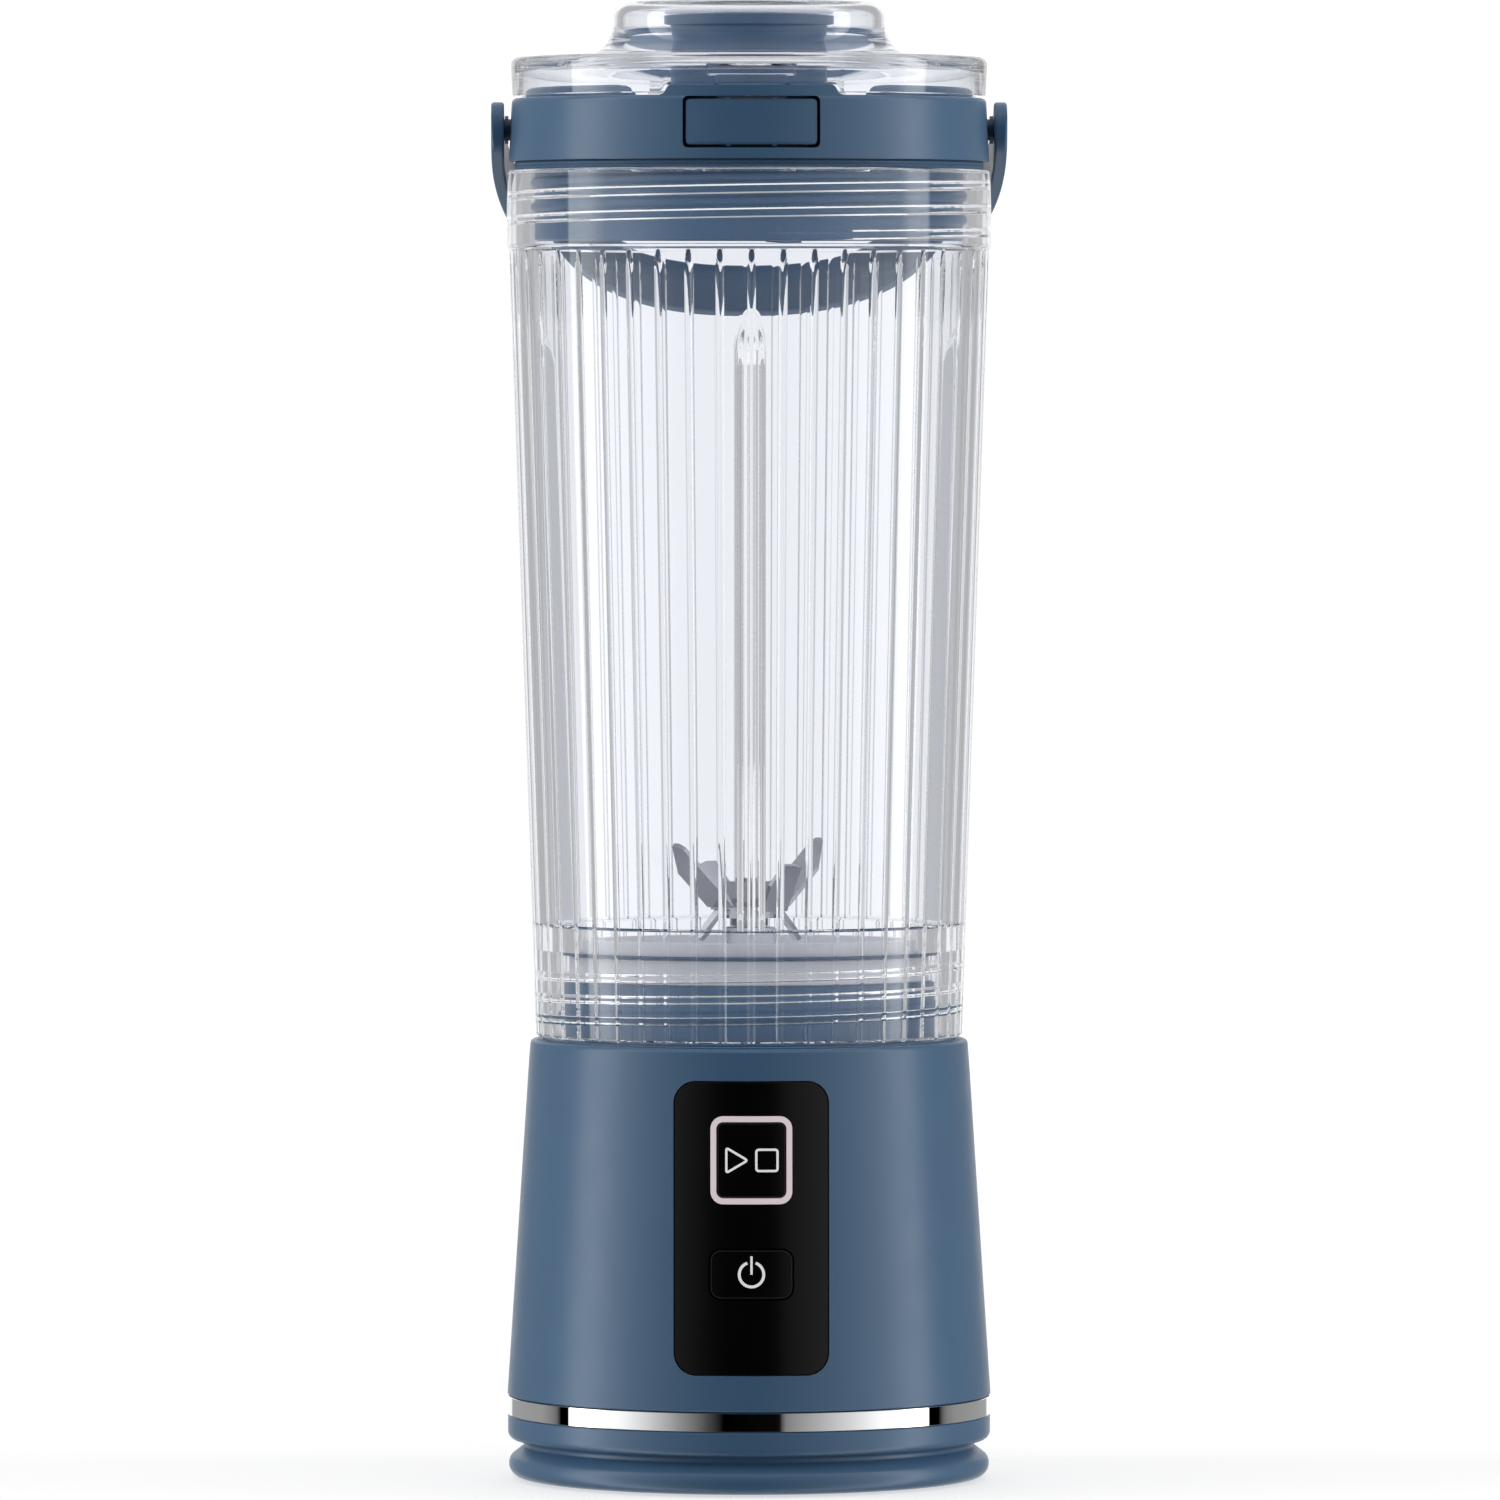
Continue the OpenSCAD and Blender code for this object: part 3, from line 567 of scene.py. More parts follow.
def build_panel():
    panel = front_patch("control_panel_glass", PANEL_W, PANEL_H, 4.0, PANEL_Z, 0.0, PANEL_T, 0.12, columns=72,
                        rows=60)
    carve(panel, front_cut(START_W + 0.1, START_H + 0.1, 2.35, START_Z),
          front_cut(POWER_W + 0.3, POWER_H + 0.3, 2.2, POWER_Z))
    finish_piece(smooth(panel), "black_gloss", "base", "control_panel")

    ring = front_patch("start_light_guide", START_W, START_H, 2.3, START_Z, 0.03, PANEL_T, 0.06)
    carve(ring, front_cut(START_W - 2 * START_RIM, START_H - 2 * START_RIM, 1.3, START_Z))
    finish_piece(smooth(ring), "light_guide", "base", "start_light_ring")

    start = front_patch("start_button_cap", START_W - 2.6, START_H - 2.6, 1.1, START_Z, 0.0, 2.6, 0.12)
    weld(start, button_stem("start_button", -40.2, START_Z))
    finish_piece(smooth(start), "black_gloss", "start_button", "start_button")

    power = front_patch("power_button_cap", POWER_W, POWER_H, 2.05, POWER_Z, 0.0, 2.6, 0.3)
    weld(power, button_stem("power_button", -41.2, POWER_Z))
    finish_piece(smooth(power), "black_gloss", "power_button", "power_button")


def ink_strip(path, width, z_mid, closed=False):
    """Vertices and faces of a printed line on the housing's surface, 0.03 mm proud."""
    count = len(path)
    vertices, faces = [], []
    for i, (x, z) in enumerate(path):
        before = path[i - 1] if (i or closed) else path[i]
        after = path[(i + 1) % count] if (i < count - 1 or closed) else path[i]
        dx1, dz1 = x - before[0], z - before[1]
        dx2, dz2 = after[0] - x, after[1] - z
        n1 = Vector((-dz1, dx1)).normalized() if (dx1 or dz1) else None
        n2 = Vector((-dz2, dx2)).normalized() if (dx2 or dz2) else None
        n1, n2 = n1 or n2, n2 or n1
        mitre = (n1 + n2).normalized()
        reach = width / 2 / max(0.5, mitre.dot(n1))
        for level in (0.03, -0.05):
            for s in (1, -1):
                px, pz = x + mitre.x * reach * s, z + mitre.y * reach * s
                depth = housing_r(z_mid + pz) + level
                vertices.append((px, -math.sqrt(depth * depth - px * px), z_mid + pz))
    steps = count if closed else count - 1
    for i in range(steps):
        a, b = 4 * i, 4 * ((i + 1) % count)
        for p, q in ((0, 1), (1, 3), (3, 2), (2, 0)):
            faces.append([a + p, b + p, b + q, a + q])
    if not closed:
        faces += [[0, 1, 3, 2], [4 * count - 4, 4 * count - 2, 4 * count - 1, 4 * count - 3]]
    return vertices, faces


def subdivide_path(points, step, closed):
    out = []
    pairs = list(zip(points, points[1:] + points[:1])) if closed else list(zip(points, points[1:]))
    for (x0, z0), (x1, z1) in pairs:
        n = max(1, int(math.hypot(x1 - x0, z1 - z0) / step))
        out += [(x0 + (x1 - x0) * i / n, z0 + (z1 - z0) * i / n) for i in range(n)]
    return out if closed else out + [points[-1]]


def rounded_path(corners, r):
    """Closed path whose corners are rounded with radius about r."""
    out = []
    count = len(corners)
    for i, corner in enumerate(corners):
        c = Vector(corner)
        a = (Vector(corners[i - 1]) - c).normalized() * r
        b = (Vector(corners[(i + 1) % count]) - c).normalized() * r
        for k in range(5):
            t = k / 4
            p = (c + a) * (1 - t) ** 2 + c * 2 * t * (1 - t) + (c + b) * t ** 2
            out.append((p.x, p.y))
    return out


def merged(name, parts):
    vertices, faces = [], []
    for more_vertices, more_faces in parts:
        start = len(vertices)
        vertices += more_vertices
        faces += [[start + i for i in face] for face in more_faces]
    return make_object(name, vertices, faces)


def build_icons():
    # The icons are white ink whose emission is a painted glow.
    line = 0.42
    play = rounded_path([(-4.6, -2.3), (-0.7, 0.0), (-4.6, 2.3)], 0.5)
    stop = rounded_path([(0.9, -1.95), (4.8, -1.95), (4.8, 1.95), (0.9, 1.95)], 0.5)
    parts = [ink_strip(subdivide_path(p, 0.5, True), line, START_Z, True) for p in (play, stop)]
    obj = merged("play_stop_print", parts)
    finish_piece(smooth(obj, turned=False), "white_print", "start_button", slot="light_guide")
    turns = [math.radians(a) for a in range(20, 341, 8)]
    ring = [(2.25 * math.sin(a), 2.25 * math.cos(a)) for a in turns]
    bar = subdivide_path([(0, 3.35), (0, 0.0)], 0.5, False)
    obj = merged("power_print", [ink_strip(ring, 0.52, POWER_Z), ink_strip(bar, line, POWER_Z)])
    finish_piece(smooth(obj, turned=False), "white_print", "power_button", slot="light_guide")
    edge = rounded_outline(14.8, 8.6, 1.8, 8)
    obj = merged("power_outline", [ink_strip(subdivide_path(edge, 0.8, True), 0.16, POWER_Z, True)])
    finish_piece(smooth(obj, turned=False), "black_plastic", "power_button")


def build_base_foot():
    ring_low, ring_high = bottom("chrome_ring"), top("chrome_ring")
    profile = [(41.5, ring_low), (RING_R - 0.1, ring_low), (RING_R, ring_low + 0.1),
               (RING_R, ring_high - 0.1), (RING_R - 0.1, ring_high), (41.5, ring_high)]
    ring = smooth(revolved("trim_ring", profile, 256))
    finish_piece(ring, "chrome_trim", "base", "chrome_ring")

    under = bottom("bottom_cap")
    outer = [(37.95, 1.45), (37.95, under)]
    outer += arc(42.3, under + 2.5, 2.5, -90, 38, 14)
    outer += arc(42.75, 6.45, 0.75, 215, 120, 8)
    outer += arc(43.4, 8.9, 1.6, -60, 0, 8)
    outer += [(RING_R, CAP_TOP - 0.2), (44.8, CAP_TOP), (41.2, CAP_TOP), (41.2, 19), (39.2, 19), (39.2, 4.5),
              (0, 4.5), (0, 1.45)]
    cap = revolved("bottom_cap_shell", outer, 240)
    finish_piece(smooth(cap, 40), "satin_blue", "base", "bottom_cap")

    profile = [(0, 0.15), (33.0, 0.15)]
    for i in range(3):
        r = 33.2 + 1.3 * i
        profile += [(r, 0.15), (r + 0.2, 0.0), (r + 0.9, 0.0), (r + 1.1, 0.15)]
    profile += [(37.6, 0.15), (37.9, 0.4), (37.9, 1.4), (0, 1.4)]
    pad = smooth(revolved("foot_pad_ribbed", profile, 160))
    finish_piece(pad, "black_rubber", "base", "foot_pad")

    flap = front_patch("port_flap", PORT_W, PORT_H, 1.8, PORT_Z, 0.0, PANEL_T - 0.1, 0.2, side=1)
    carve(flap, box_mesh("under", (-20, 20, 20), (20, 60, PORT_HINGE_Z)))
    weld(flap, rod_x("roll", -4.7, 4.7, PORT_HINGE_Y, PORT_HINGE_Z, 0.5, 32))
    finish_piece(smooth(flap), "blue_silicone", "port_cover", "port_cover")


def thread_ridge(root, crest, pitch, z_low, turns, width, start):
    """Helical ridge on a wall of radius root, running out at both ends, with its foot sunk in the wall."""
    per_turn = 96
    steps = int(per_turn * turns)
    inside = math.copysign(0.4, root - crest)
    vertices, faces = [], []
    for i in range(steps + 1):
        lap = i / per_turn
        run_out = min(1.0, lap / 0.12, (turns - lap) / 0.12)
        run_out = math.sin(max(0.0, run_out) * math.pi / 2)
        rise = (crest - root) * run_out - inside * 0.02 * (1 - run_out)
        a = start + 2 * math.pi * lap
        z = z_low + pitch * lap
        half = width / 2
        lower = [(root + inside, -half - 0.1), (root + rise * 0.02 + inside * 0.02, -half),
                 (root + rise * 0.75, -half * 0.62), (root + rise, -half * 0.3)]
        for r, dz in lower + [(r, -dz) for r, dz in reversed(lower)]:
            vertices.append((r * math.cos(a), r * math.sin(a), z + dz))
    count = 8
    for i in range(steps):
        for k in range(count):
            m = (k + 1) % count
            faces.append([i * count + k, (i + 1) * count + k, (i + 1) * count + m, i * count + m])
    faces += [list(range(count)), list(range(steps * count + count - 1, steps * count - 1, -1))]
    return make_object("ridge", vertices, faces)


def steps_between(a, b, step):
    n = max(1, int(round(abs(b - a) / step)))
    return [a + (b - a) * i / n for i in range(n + 1)]


def build_base_collar():
    deck = BASE_H + 0.2
    profile = [(5.2, DECK_Z), (38.2, DECK_Z), (38.2, deck), (BOSS_R, deck), (BOSS_R, BOSS_TOP - 0.5)]
    profile += [(BOSS_R - 0.4, BOSS_TOP), (31.6, BOSS_TOP), (31.6, deck), (5.2, deck)]
    obj = revolved("base_collar_threaded", profile, 180)
    weld(obj, thread_ridge(BOSS_R, BOSS_R + 1.0, JAR_PITCH, 85.2, 1.5, 2.0, 0.4))
    finish_piece(smooth(obj, 40), "satin_blue", "base", "base_collar")


# ---------------------------------------------------------------- jar

def jar_columns():
    """Azimuths of the jar's mesh: a fixed set in each groove's pitch."""
    pitch = 2 * math.pi / GROOVES
    edge = GROOVE_W / 2 / GROOVE_R
    local = [-edge * 1.25, -edge, -edge * 0.8, -edge * 0.6, -edge * 0.35, -edge * 0.12]
    local = local + [-a for a in reversed(local)] + [pitch * 0.3, pitch / 2, pitch * 0.7]
    return [(g * pitch + a) for g in range(GROOVES) for a in local]


def groove_cut(angle, z):
    """Depth of the outer grooves: pointed at the top, ramping to full width and depth."""
    pitch = 2 * math.pi / GROOVES
    off = abs((angle + pitch / 2) % pitch - pitch / 2) * GROOVE_R
    ramp = (TAPER_TOP - 0.3 - z) / GROOVE_RAMP
    if ramp <= 0:
        return 0.0
    ramp = 1 - (1 - min(1.0, ramp)) ** 2.2
    half = GROOVE_W / 2 * (0.12 + 0.88 * math.sqrt(ramp))
    depth = GROOVE_DEPTH * ramp
    if off >= half:
        return 0.0
    return depth * (1 - (off / half) ** 1.5)


def rib(quarter):
    """Inner fin of the jar, bullet-shaped seen from the middle, with round flanks, fading out at the top."""
    def outline(half):
        points = [(-half, LEDGE - 1)] + [(-half, RIB_TOP - RIB_FADE + 0.5 * k) for k in range(5)]
        rise = RIB_NOSE * half / (RIB_W / 2)
        for k in range(23):
            t = math.pi / 2 * k / 22
            x = -half * math.cos(t) ** 0.8 if k < 22 else 0.0
            points.append((x, RIB_TOP - RIB_NOSE + rise * math.sin(t)))
        points += [(-x, z) for x, z in reversed(points[:-1])]
        return points

    def depth(z, share):
        full = RIB_DEPTH * (1 - 0.2 * (z - LEDGE) / (RIB_TOP - LEDGE))
        fade = min(1.0, max(0.0, (RIB_TOP - z) / RIB_FADE))
        return full * share * (fade * fade * (3 - 2 * fade) if share > 0 else 1.0)

    layers = [(RIB_W / 2 - 1.5 + k / 8, 0.49 + 0.51 * math.cos(math.pi * k / 12)) for k in range(13)]
    layers.append((RIB_W / 2, -0.25))
    vertices, faces = [], []
    for half, share in layers:
        for x, z in outline(half):
            r = jar_inner(z) - depth(z, share)
            vertices.append((x, -math.sqrt(r * r - x * x), z))
    count = len(outline(1.0))
    for k in range(len(layers) - 1):
        for i in range(count):
            j = (i + 1) % count
            faces.append([k * count + i, (k + 1) * count + i, (k + 1) * count + j, k * count + j])
    half_count = (count + 1) // 2
    for start in (0, (len(layers) - 1) * count):
        for i in range(half_count - 2):
            faces.append([start + i, start + i + 1, start + count - 2 - i, start + count - 1 - i])
        faces.append([start + half_count - 2, start + half_count - 1, start + half_count])
    c, s = round(math.cos(quarter * math.pi / 2)), round(math.sin(quarter * math.pi / 2))
    vertices = [(x * c - y * s, x * s + y * c, z) for x, y, z in vertices]
    return make_object("rib", vertices, faces)


def build_jar():
    angles = jar_columns()
    outer_z = [JAR_FOOT, JAR_FOOT + 0.3] + steps_between(JAR_FOOT + 1, 212, 16)
    outer_z += [218.0] + steps_between(TAPER_TOP - 0.3 - GROOVE_RAMP, TAPER_TOP - 0.3, 0.36)
    outer_z += [TAPER_TOP, TAPER_TOP + 0.4, 236, JAR_TOP - 0.5]
    outer_z = sorted(set(outer_z))
    outer = [(jar_outer(z) - (0.3 if z == JAR_FOOT else 0), z) for z in outer_z]
    inner = [(MOUTH_R - 0.15, JAR_TOP - 0.15), (MOUTH_R - 0.5, JAR_TOP), (MOUTH_BORE + 0.8, JAR_TOP),
             (MOUTH_BORE, JAR_TOP - 0.8), (MOUTH_BORE, 237), (MOUTH_BORE - 0.1, MOUTH_STEP),
             (INNER_HIGH + 0.1, MOUTH_STEP)]
    wall_z = [MOUTH_STEP - 0.1] + list(reversed(steps_between(LEDGE + 1.0, 220, 29))) + [LEDGE + 0.35]
    inner += [(jar_inner(z), z) for z in wall_z]
    inner += [(INNER_LOW - 0.35, LEDGE), (LEDGE_BORE + 0.3, LEDGE), (LEDGE_BORE, LEDGE - 0.3),
              (LEDGE_BORE, LEDGE_UNDER), (THREAD_BORE, LEDGE_UNDER), (THREAD_BORE, 91),
              (THREAD_BORE, JAR_FOOT + 0.5), (THREAD_BORE + 0.5, JAR_FOOT)]
    rows = len(outer) + len(inner)
    vertices, faces = [], []
    for a in angles:
        for r, z in [(r - groove_cut(a, z), z) for r, z in outer] + inner:
            vertices.append((r * math.cos(a), r * math.sin(a), z))
    count = len(angles)
    for i in range(count):
        j = (i + 1) % count
        for k in range(rows):
            m = (k + 1) % rows
            faces.append([i * rows + k, j * rows + k, j * rows + m, i * rows + m])
    obj = make_object("jar_grooved", vertices, faces)
    weld(obj, *[rib(q) for q in range(4)])
    weld(obj, thread_ridge(MOUTH_BORE, MOUTH_BORE - 0.62, LID_PITCH, 231.2, 2.5, 1.9, -math.pi / 2),
         thread_ridge(THREAD_BORE, THREAD_BORE - 0.75, JAR_PITCH, 85.5, 2.7, 1.7, 2.2))
    finish_piece(smooth(obj, 24), "clear_plastic", "jar", "jar")


# ---------------------------------------------------------------- lid

def tab_outline(grow):
    half, high = TAB_W / 2 + grow, TAB_TOP + grow
    left = [(-half - 1.9, DECK - 1.2), (-half - 1.9, DECK + grow), (-half - 1.2, DECK + grow + 0.25),
            (-half - 0.5, high - 0.55), (-half + 0.1, high - 0.12), (-half + 0.8, high)]
    return left + [(-x, z) for x, z in reversed(left)]


def deck_rib(start, end):
    """Curved bar on the lid's deck between two azimuths in degrees, with a softened top and rounded ends."""
    r_in, r_out, z0, z1 = 38.6, 41.6, DECK - 0.5, DECK + 2
    soft, round_ends, steps = 0.4, 2.4, 64
    section = [(r_in, z0), (r_out, z0), (r_out, z1 - soft), (r_out - soft, z1), (r_in + soft, z1),
               (r_in, z1 - soft)]
    vertices, faces = [], []
    count = len(section)
    for i in range(steps + 1):
        t = i / steps
        a = math.radians(start + (end - start) * t)
        run = math.radians(abs(end - start)) * (r_in + r_out) / 2
        near = min(t, 1 - t) * run
        drop = 0.0
        if near < round_ends:
            drop = round_ends - math.sqrt(max(0.0, round_ends ** 2 - (round_ends - near) ** 2))
        for r, z in section:
            zz = z if z == z0 else max(z0 + 0.01, z - drop)
            vertices.append((r * math.cos(a), r * math.sin(a), zz))
    for i in range(steps):
        for k in range(count):
            m = (k + 1) % count
            faces.append([i * count + k, (i + 1) * count + k, (i + 1) * count + m, i * count + m])
    faces += [list(range(count)), list(range(steps * count + count - 1, steps * count - 1, -1))]
    return make_object("deck_rib", vertices, faces)


def build_lid_collar():
    profile = [(37.4, PLUG_Z), (PLUG_R - 0.4, PLUG_Z), (PLUG_R, PLUG_Z + 0.4), (PLUG_R, 238)]
    profile += [(PLUG_R, COLLAR_Z), (COLLAR_LOW_R - 0.15, COLLAR_Z), (COLLAR_LOW_R, COLLAR_Z + 0.2)]
    profile += [(COLLAR_LOW_R - 0.25, 251), (COLLAR_HIGH_R, DECK - 0.9)]
    profile += arc(COLLAR_HIGH_R - 0.9, DECK - 0.9, 0.9, 15, 90, 6)
    profile += [(NECK_R + 0.8, DECK)] + arc(NECK_R + 0.8, DECK + 0.8, 0.8, 255, 180, 4)
    profile += [(NECK_R, SPOUT_TOP - 3.3), (SPOUT_R - 0.3, SPOUT_TOP - 2.9), (SPOUT_R, SPOUT_TOP - 2.6),
                (SPOUT_R, SPOUT_TOP - 0.6)] + arc(SPOUT_R - 0.6, SPOUT_TOP - 0.6, 0.6, 15, 90, 5)
    profile += [(SPOUT_BORE + 0.3, SPOUT_TOP), (SPOUT_BORE, SPOUT_TOP - 0.3), (SPOUT_BORE, 254.6),
                (37.4, 254.6)]
    obj = revolved("lid_collar_threaded", profile, 200)
    weld(obj, thread_ridge(PLUG_R, PLUG_R + 0.75, LID_PITCH, 233.7, 2.1, 2.0, -1.2))

    tab = prism("tab", tab_outline(0), -50, -20)
    inner = revolved("inner", [(20, 200), (39.4, 200), (39.4, 300), (20, 300)], 200)
    tab = carve(tab, inner)
    tab_r = COLLAR_HIGH_R - 0.35
    ring = revolved("ring", [(38, DECK - 1.2), (tab_r, DECK - 1.2), (tab_r, TAB_TOP - 0.3),
                             (tab_r - 0.3, TAB_TOP), (38, TAB_TOP)], 200)
    tab = combine(tab, [ring], "INTERSECT")
    hinge = rod_x("barrel", -HINGE_W / 2, HINGE_W / 2, HINGE_Y, HINGE_Z, HINGE_R)
    web = box_mesh("web", (-HINGE_W / 2, 40.8, 254), (HINGE_W / 2, HINGE_Y + 2.6, HINGE_Z))
    weld(obj, tab, hinge, web, deck_rib(-57.4, 30), deck_rib(150, 237.4))
    latch_hole = prism("hole", rounded_outline(25.2, 9.5, 1.0), -50, -38.3, 0, LATCH_Z)
    slot = box_mesh("slot", (-6.9, -43.3, 249), (6.9, -39.7, 261))
    pin_hole = rod_x("pin_hole", -20, 20, HINGE_Y, HINGE_Z, 1.25, 32)
    sides = [rod_x("side_hole", x, x + 9.55, 0, PIVOT_Z, 2.03, 32) for x in (-50, 40.45)]
    carve(obj, latch_hole, slot, pin_hole, *sides)
    finish_piece(smooth(obj, 40), "satin_blue", "lid", "lid_collar")


def build_seals():
    z0, z1 = bottom("lid_seal"), top("lid_seal")
    profile = [(40.3, z0), (43.3, z0), (43.6, z0 + 0.15), (43.7, z0 + 0.45), (43.55, (z0 + z1) / 2),
               (43.7, z1 - 0.35), (43.5, z1), (40.3, z1)]
    gasket = smooth(revolved("lid_gasket", profile, 200))
    finish_piece(gasket, "blue_silicone", "lid_seal", "lid_seal")
    z0, z1 = bottom("jar_seal"), top("jar_seal")
    profile = [(31.3, z0), (35.2, z0), (35.4, z0 + 0.15), (35.4, z1 - 0.15), (35.2, z1), (31.3, z1)]
    gasket = smooth(revolved("jar_gasket", profile, 180))
    finish_piece(gasket, "blue_silicone", "jar_seal", "jar_seal")


def build_cover():
    ceiling = COVER_TOP - 1.6
    dome_in = DOME_R - COVER_WALL
    under = FLANGE_TOP - COVER_WALL
    profile = [(FLANGE_R - 2.1, COVER_Z), (FLANGE_R - 0.5, COVER_Z), (FLANGE_R - 0.3, COVER_Z + 0.2)]
    profile += arc(FLANGE_R - 1.5, FLANGE_TOP - 1.5, 1.5, 3, 90, 10)
    profile += [(38, FLANGE_TOP)] + arc(DOME_R + 6, FLANGE_TOP + 6, 6, 270, 180, 18)
    profile += arc(DOME_R - 3, COVER_TOP - 3, 3, 2, 90, 12)
    profile += [(12, COVER_TOP), (0, COVER_TOP), (0, ceiling + 0.8), (SEAL_R + 0.05, ceiling + 0.8),
                (SEAL_R + 0.05, ceiling)]
    profile += arc(dome_in - 1.4, ceiling - 1.4, 1.4, 90, 0, 8)
    profile += arc(dome_in + 4, under + 4, 4, 180, 270, 12)
    profile += [(36, under), (FLANGE_R - 3.2, under), (FLANGE_R - 2.3, under - 0.4),
                (FLANGE_R - 2.1, under - 1.0)]
    obj = revolved("flip_cover_clear", profile, 200)
    lug_x = HINGE_W / 2 + 0.5
    carve(obj, prism("notch", tab_outline(0.4), -50, -20),
          box_mesh("gap", (-lug_x, 40.4, 250), (lug_x, 50, 270)))
    lugs = []
    for s in (-1, 1):
        x0, x1 = sorted((s * lug_x, s * (lug_x + LUG_W)))
        lugs.append(rod_x("lug", x0, x1, HINGE_Y, HINGE_Z, HINGE_R))
        lugs.append(box_mesh("lug_web", (x0 + 0.001, 39.6, HINGE_Z - 2.6),
                             (x1 - 0.001, HINGE_Y, HINGE_Z + 2.6)))
    bar, stem = rounded_outline(16.2, 2.3, 0.4, 3), rounded_outline(13.0, 8.4, 0.4, 3)
    hook = [prism("hook", bar, -41.4, -41.0, -0.4, 261.85), prism("hook", bar, -41.0, -40.3, 0, 261.85),
            prism("hook", stem, -41.4, -41.0, -0.4, 257.0), prism("hook", stem, -41.0, -40.5, 0, 257.0),
            box_mesh("hook", (-6.25, -41.4, 252.8), (6.25, -40.5, 253.8))]
    weld(obj, *lugs, *hook)
    carve(obj, rod_x("pin_hole", -30, 30, HINGE_Y, HINGE_Z, 1.26, 32))
    finish_piece(smooth(obj, 24), "clear_plastic", "cover", "flip_cover")

    z0, z1 = bottom("spout_seal"), top("spout_seal")
    profile = [(0, z0 + 0.2), (11.4, z0 + 0.2), (12.0, z0), (SEAL_R - 0.3, z0), (SEAL_R, z0 + 0.3),
               (SEAL_R, z1), (0, z1)]
    gasket = smooth(revolved("spout_gasket", profile, 128))
    finish_piece(gasket, "clear_silicone", "cover", "spout_seal")


def latch_slab(outline, y_near, y_far, face_r):
    """Slab of the latch's outline whose front follows the collar's curve at radius face_r."""
    tube = revolved("face", [(40, 240), (face_r, 240), (face_r, 260), (40, 260)], 720)
    return combine(prism("slab", outline, y_near, y_far, 0, LATCH_Z), [tube], "INTERSECT")


def build_latch():
    w, h, r, steps = LATCH_W, LATCH_H, 0.8, 6
    parts = []
    for inset, face_r in ((0.42, 44.9), (0.16, 44.78), (0.0, 44.5)):
        outline = rounded_outline(w - 2 * inset, h - 2 * inset, r - inset, steps)
        parts.append(latch_slab(outline, -60, -42.9, face_r))
    obj = weld(parts[2], parts[1], parts[0])
    ends = latch_slab(rounded_outline(w, h, r, steps), -44, -41.4, 44.6)
    carve(ends, box_mesh("middle", (-7.4, -61, 240), (7.4, -31, 260)))
    nubs = [box_mesh("nub", (x - 0.4, -44.3, z - 0.3), (x + 0.4, -43.0, z + 0.3)) for x in (-4.25, 4.25)
            for z in (LATCH_Z - h / 2, LATCH_Z + h / 2)]
    arms = [box_mesh("arm", (x, -43.4, 253.8), (x + 1.5, -39.3, 255.6)) for x in (-9.5, 8.0)]
    weld(obj, ends, *arms, *nubs, box_mesh("bar", (-9.5, -40.3, 253.8), (9.5, -39.3, 255.6)))
    finish_piece(smooth(obj, 30), "satin_blue", "latch_button", "latch_button")


def build_handle():
    """Strap swept along a superellipse bow between two round ears at the pins, hanging down at the back."""
    bow = 2 / 2.3
    stations = []
    ear = STRAP_W / 2
    for i in range(13):
        v = -ear * math.cos(math.pi / 2 * i / 12)
        stations.append((STRAP_X, v, Vector((1, 0)), math.sqrt(max(0.0, ear ** 2 - v ** 2))))
    steps = 96
    loop = []
    for i in range(steps + 1):
        t = math.pi * i / steps
        c, s = math.cos(t), math.sin(t)
        loop.append((math.copysign(STRAP_X * abs(c) ** bow, c), REACH * abs(s) ** bow))
    for i, (x, v) in enumerate(loop):
        if i in (0, steps):
            continue
        before, after = loop[i - 1], loop[i + 1]
        tangent = Vector((after[0] - before[0], after[1] - before[1])).normalized()
        stations.append((x, v, Vector((tangent.y, -tangent.x)), ear))
    for i in range(12, -1, -1):
        v = -ear * math.cos(math.pi / 2 * i / 12)
        stations.append((-STRAP_X, v, Vector((-1, 0)), math.sqrt(max(0.0, ear ** 2 - v ** 2))))
    vertices, faces = [], []
    for x, v, normal, half in stations:
        half = max(half, 0.02)
        soft = min(0.55, half * 0.5)
        section = rounded_outline(STRAP_T, 2 * half, min(soft, STRAP_T / 2 - 0.01), 4)
        ring = len(section)
        for a, b in section:
            px, pv = x + normal.x * a, v + normal.y * a
            y = pv * math.cos(HANG) + b * math.sin(HANG)
            z = -pv * math.sin(HANG) + b * math.cos(HANG)
            vertices.append((px, y, PIVOT_Z + z))
    for i in range(len(stations) - 1):
        for k in range(ring):
            m = (k + 1) % ring
            faces.append([i * ring + k, (i + 1) * ring + k, (i + 1) * ring + m, i * ring + m])
    end = (len(stations) - 1) * ring
    faces += [list(range(ring)), list(range(end + ring - 1, end - 1, -1))]
    obj = make_object("carry_handle_strap", vertices, faces)
    carve(obj, rod_x("hole", 45, 49, 0, PIVOT_Z, 2.07, 40), rod_x("hole", -49, -45, 0, PIVOT_Z, 2.07, 40))
    finish_piece(smooth(obj, 40, turned=False), "satin_blue", "handle", "carry_handle")


# ---------------------------------------------------------------- blade unit

def build_seat():
    profile = [(3.1, 100.9), (3.1, 97.6), (5.52, 97.6), (5.52, 88), (7.6, 88), (7.6, 94.6), (22.5, 94.6),
               (22.5, 93.45), (33.3, 93.45), (33.5, 93.65), (33.5, 98.0), (33.3, 98.2), (31.0, 98.2),
               (31.0, 101.0)]
    profile += arc(30.7, 101.0, 0.3, 15, 90, 3) + [(29.4, 101.3)] + arc(29.4, 101.0, 0.3, 100, 150, 2)
    profile += [(27.8, 98.7), (27.2, 98.4), (6.6, 98.4), (5.3, 99.6), (5.0, 100.0), (5.0, 102.7)]
    profile += [(4.8, 103.0), (4.3, 103.0), (4.3, 100.9)]
    seat = smooth(revolved("blade_seat_turned", profile, 180), 30)
    finish_piece(seat, "grey_plastic", "base", "blade_seat")


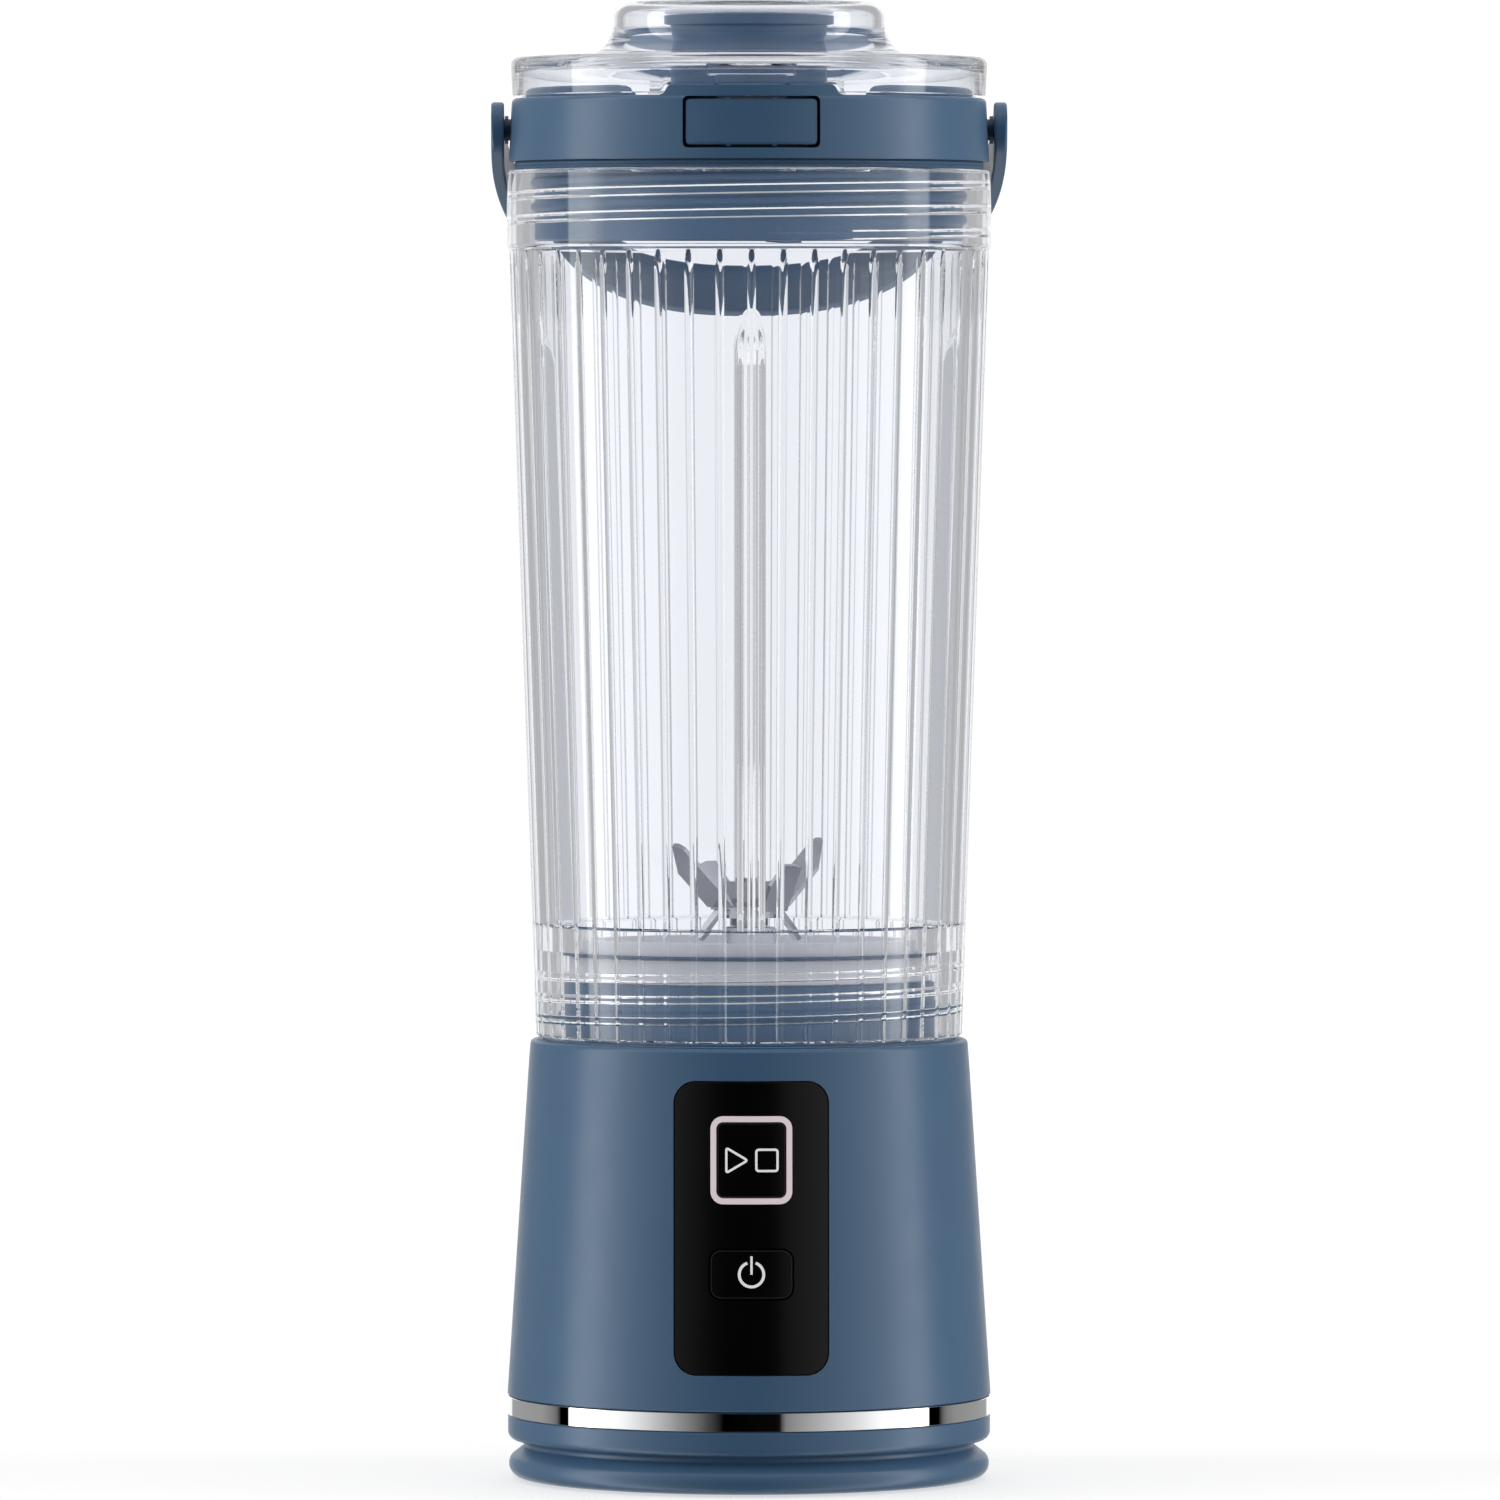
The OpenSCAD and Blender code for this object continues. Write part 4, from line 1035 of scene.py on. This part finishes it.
def bevel_node(name, width):
    modifier = NODES[name].modifiers.new("bevel", "BEVEL")
    modifier.width = width * MM
    modifier.segments = 2
    modifier.limit_method = "ANGLE"
    modifier.angle_limit = math.radians(35)


# ---------------------------------------------------------------- stage

def build_floor():
    """Pale round floor under the object, reaching past the view from any height above it."""
    bm = bmesh.new()
    bmesh.ops.create_circle(bm, cap_ends=True, segments=128, radius=1.4)
    mesh = bpy.data.meshes.new("floor")
    bm.to_mesh(mesh)
    bm.free()
    floor = bpy.data.objects.new("floor", mesh)
    floor.location.z = -0.0001
    bpy.context.scene.collection.objects.link(floor)
    material, nodes, links, shader = new_material("floor_white")
    paper = mapped_noise(nodes, links, 8, 3)
    links.new(tinted(nodes, links, paper.outputs["Fac"], (0.44, 0.44, 0.44), (0.46, 0.46, 0.46)),
              shader.inputs["Base Color"])
    shader.inputs["Roughness"].default_value = 0.9
    shader.inputs["Emission Color"].default_value = (1, 1, 1, 1)
    shader.inputs["Emission Strength"].default_value = 0.6
    mesh.materials.append(material)
    floor.visible_glossy = False
    floor.visible_diffuse = False


def build_world():
    """Studio all round as bands of brightness by compass direction: a dark gap where the front faces,
    a large soft panel on each side, a narrow dark gap behind each panel, and a white backdrop.
    Clear plastic sees the same studio with the dark bands lifted and the bright ones cut."""
    world = bpy.data.worlds.new("studio")
    bpy.context.scene.world = world
    world.use_nodes = True
    nodes, links = world.node_tree.nodes, world.node_tree.links

    def feed(socket, value):
        if isinstance(value, bpy.types.NodeSocket):
            links.new(value, socket)
        else:
            socket.default_value = value

    def compute(operation, first, second):
        node = nodes.new("ShaderNodeMath")
        node.operation = operation
        feed(node.inputs[0], first)
        feed(node.inputs[1], second)
        return node.outputs[0]

    def ranged(source, from_min, from_max, to_min=0.0, to_max=1.0):
        node = nodes.new("ShaderNodeMapRange")
        limits = {"From Min": from_min, "From Max": from_max, "To Min": to_min, "To Max": to_max}
        for name, value in limits.items():
            node.inputs[name].default_value = value
        links.new(source, node.inputs["Value"])
        return node.outputs["Result"]

    def blend(factor, first, second):
        node = nodes.new("ShaderNodeMix")
        node.data_type = "RGBA"
        links.new(factor, node.inputs["Factor"])
        feed(node.inputs["A"], first)
        feed(node.inputs["B"], second)
        return node.outputs["Result"]

    def grey(level):
        return (level / PEAK, level / PEAK, level / PEAK, 1)

    coords = nodes.new("ShaderNodeTexCoord")
    split = nodes.new("ShaderNodeSeparateXYZ")
    links.new(coords.outputs["Generated"], split.inputs[0])
    angle = compute("ARCTAN2", split.outputs["X"], compute("MULTIPLY", split.outputs["Y"], -1.0))
    ramp = nodes.new("ShaderNodeValToRGB")
    bands = [(-180, BACKDROP), (-160, BACKDROP), (-157, 0.38), (-118, 0.34), (-108, 0.22), (-105, 0.14),
             (-103, 0.0), (-97, 0.0), (-96, PEAK), (-83, PEAK), (-72, 1.3), (-62, 1.05), (-46, 0.6),
             (-34, 0.31), (-20, 0.07), (-13, 0.0), (14, 0.003), (17, 0.25), (32, 0.46), (50, 0.78), (67, 1.2),
             (76, 1.35), (83, PEAK), (94, PEAK), (95, 0.0), (103, 0.0), (106, 0.15), (109, 0.23), (116, 0.3),
             (157, 0.39), (160, BACKDROP)]
    elements = ramp.color_ramp.elements
    while len(elements) > 1:
        elements.remove(elements[-1])
    for i, (degrees, level) in enumerate(bands):
        element = elements[0] if i == 0 else elements.new((degrees + 180) / 360)
        element.position = (degrees + 180) / 360
        element.color = grey(level)
    links.new(ranged(angle, -math.pi, math.pi), ramp.inputs["Fac"])
    studio = blend(ranged(split.outputs["Z"], 0.5, 0.9), ramp.outputs["Color"], grey(OVERHEAD))
    path = nodes.new("ShaderNodeLightPath")
    soft = nodes.new("ShaderNodeClamp")
    low = ranged(path.outputs["Glossy Depth"], 0.0, 1.0, THROUGH_LOW / PEAK, MIRRORED_LOW / PEAK)
    links.new(low, soft.inputs["Min"])
    soft.inputs["Max"].default_value = BACKDROP / PEAK
    links.new(studio, soft.inputs["Value"])
    through = blend(path.outputs["Is Transmission Ray"], studio, soft.outputs["Result"])
    least = compute("MULTIPLY", path.outputs["Is Singular Ray"], MIRROR_LOW / PEAK)
    seen = blend(path.outputs["Is Camera Ray"], compute("MAXIMUM", through, least), grey(BACKDROP))
    background = nodes["Background"]
    links.new(seen, background.inputs["Color"])
    background.inputs["Strength"].default_value = PEAK


def build_camera():
    data = bpy.data.cameras.new("camera")
    data.sensor_width = 36
    data.lens = 316.6
    camera = bpy.data.objects.new("camera", data)
    bpy.context.scene.collection.objects.link(camera)
    distance, height, turned = 2.459, 0.2106, math.radians(0.6)
    camera.location = (-distance * math.sin(turned), -distance * math.cos(turned), height)
    down, aim_right = math.radians(1.741), math.radians(0.0043)
    aim = turned + aim_right
    look = Vector((math.sin(aim) * math.cos(down), math.cos(aim) * math.cos(down), -math.sin(down)))
    camera.rotation_euler = look.to_track_quat("-Z", "Y").to_euler()
    data.clip_start, data.clip_end = 0.05, 200
    bpy.context.scene.camera = camera


build_camera()
build_world()
build_floor()
build_housing()
build_panel()
build_icons()
build_base_foot()
build_base_collar()
build_seat()
build_jar()
build_lid_collar()
build_seals()
build_cover()
build_latch()
build_handle()
for blade in ("long_blades", "short_blades", "low_blades"):
    bevel_node(blade, 0.12)
for part in ("blade_nut", "upper_washer", "lower_washer", "blade_shaft"):
    bevel_node(part, 0.15)

scene = bpy.context.scene
scene.view_settings.view_transform = "Standard"
scene.cycles.max_bounces = 40
scene.cycles.glossy_bounces = 32
scene.cycles.transmission_bounces = 32
scene.cycles.transparent_max_bounces = 24
scene.cycles.caustics_refractive = True
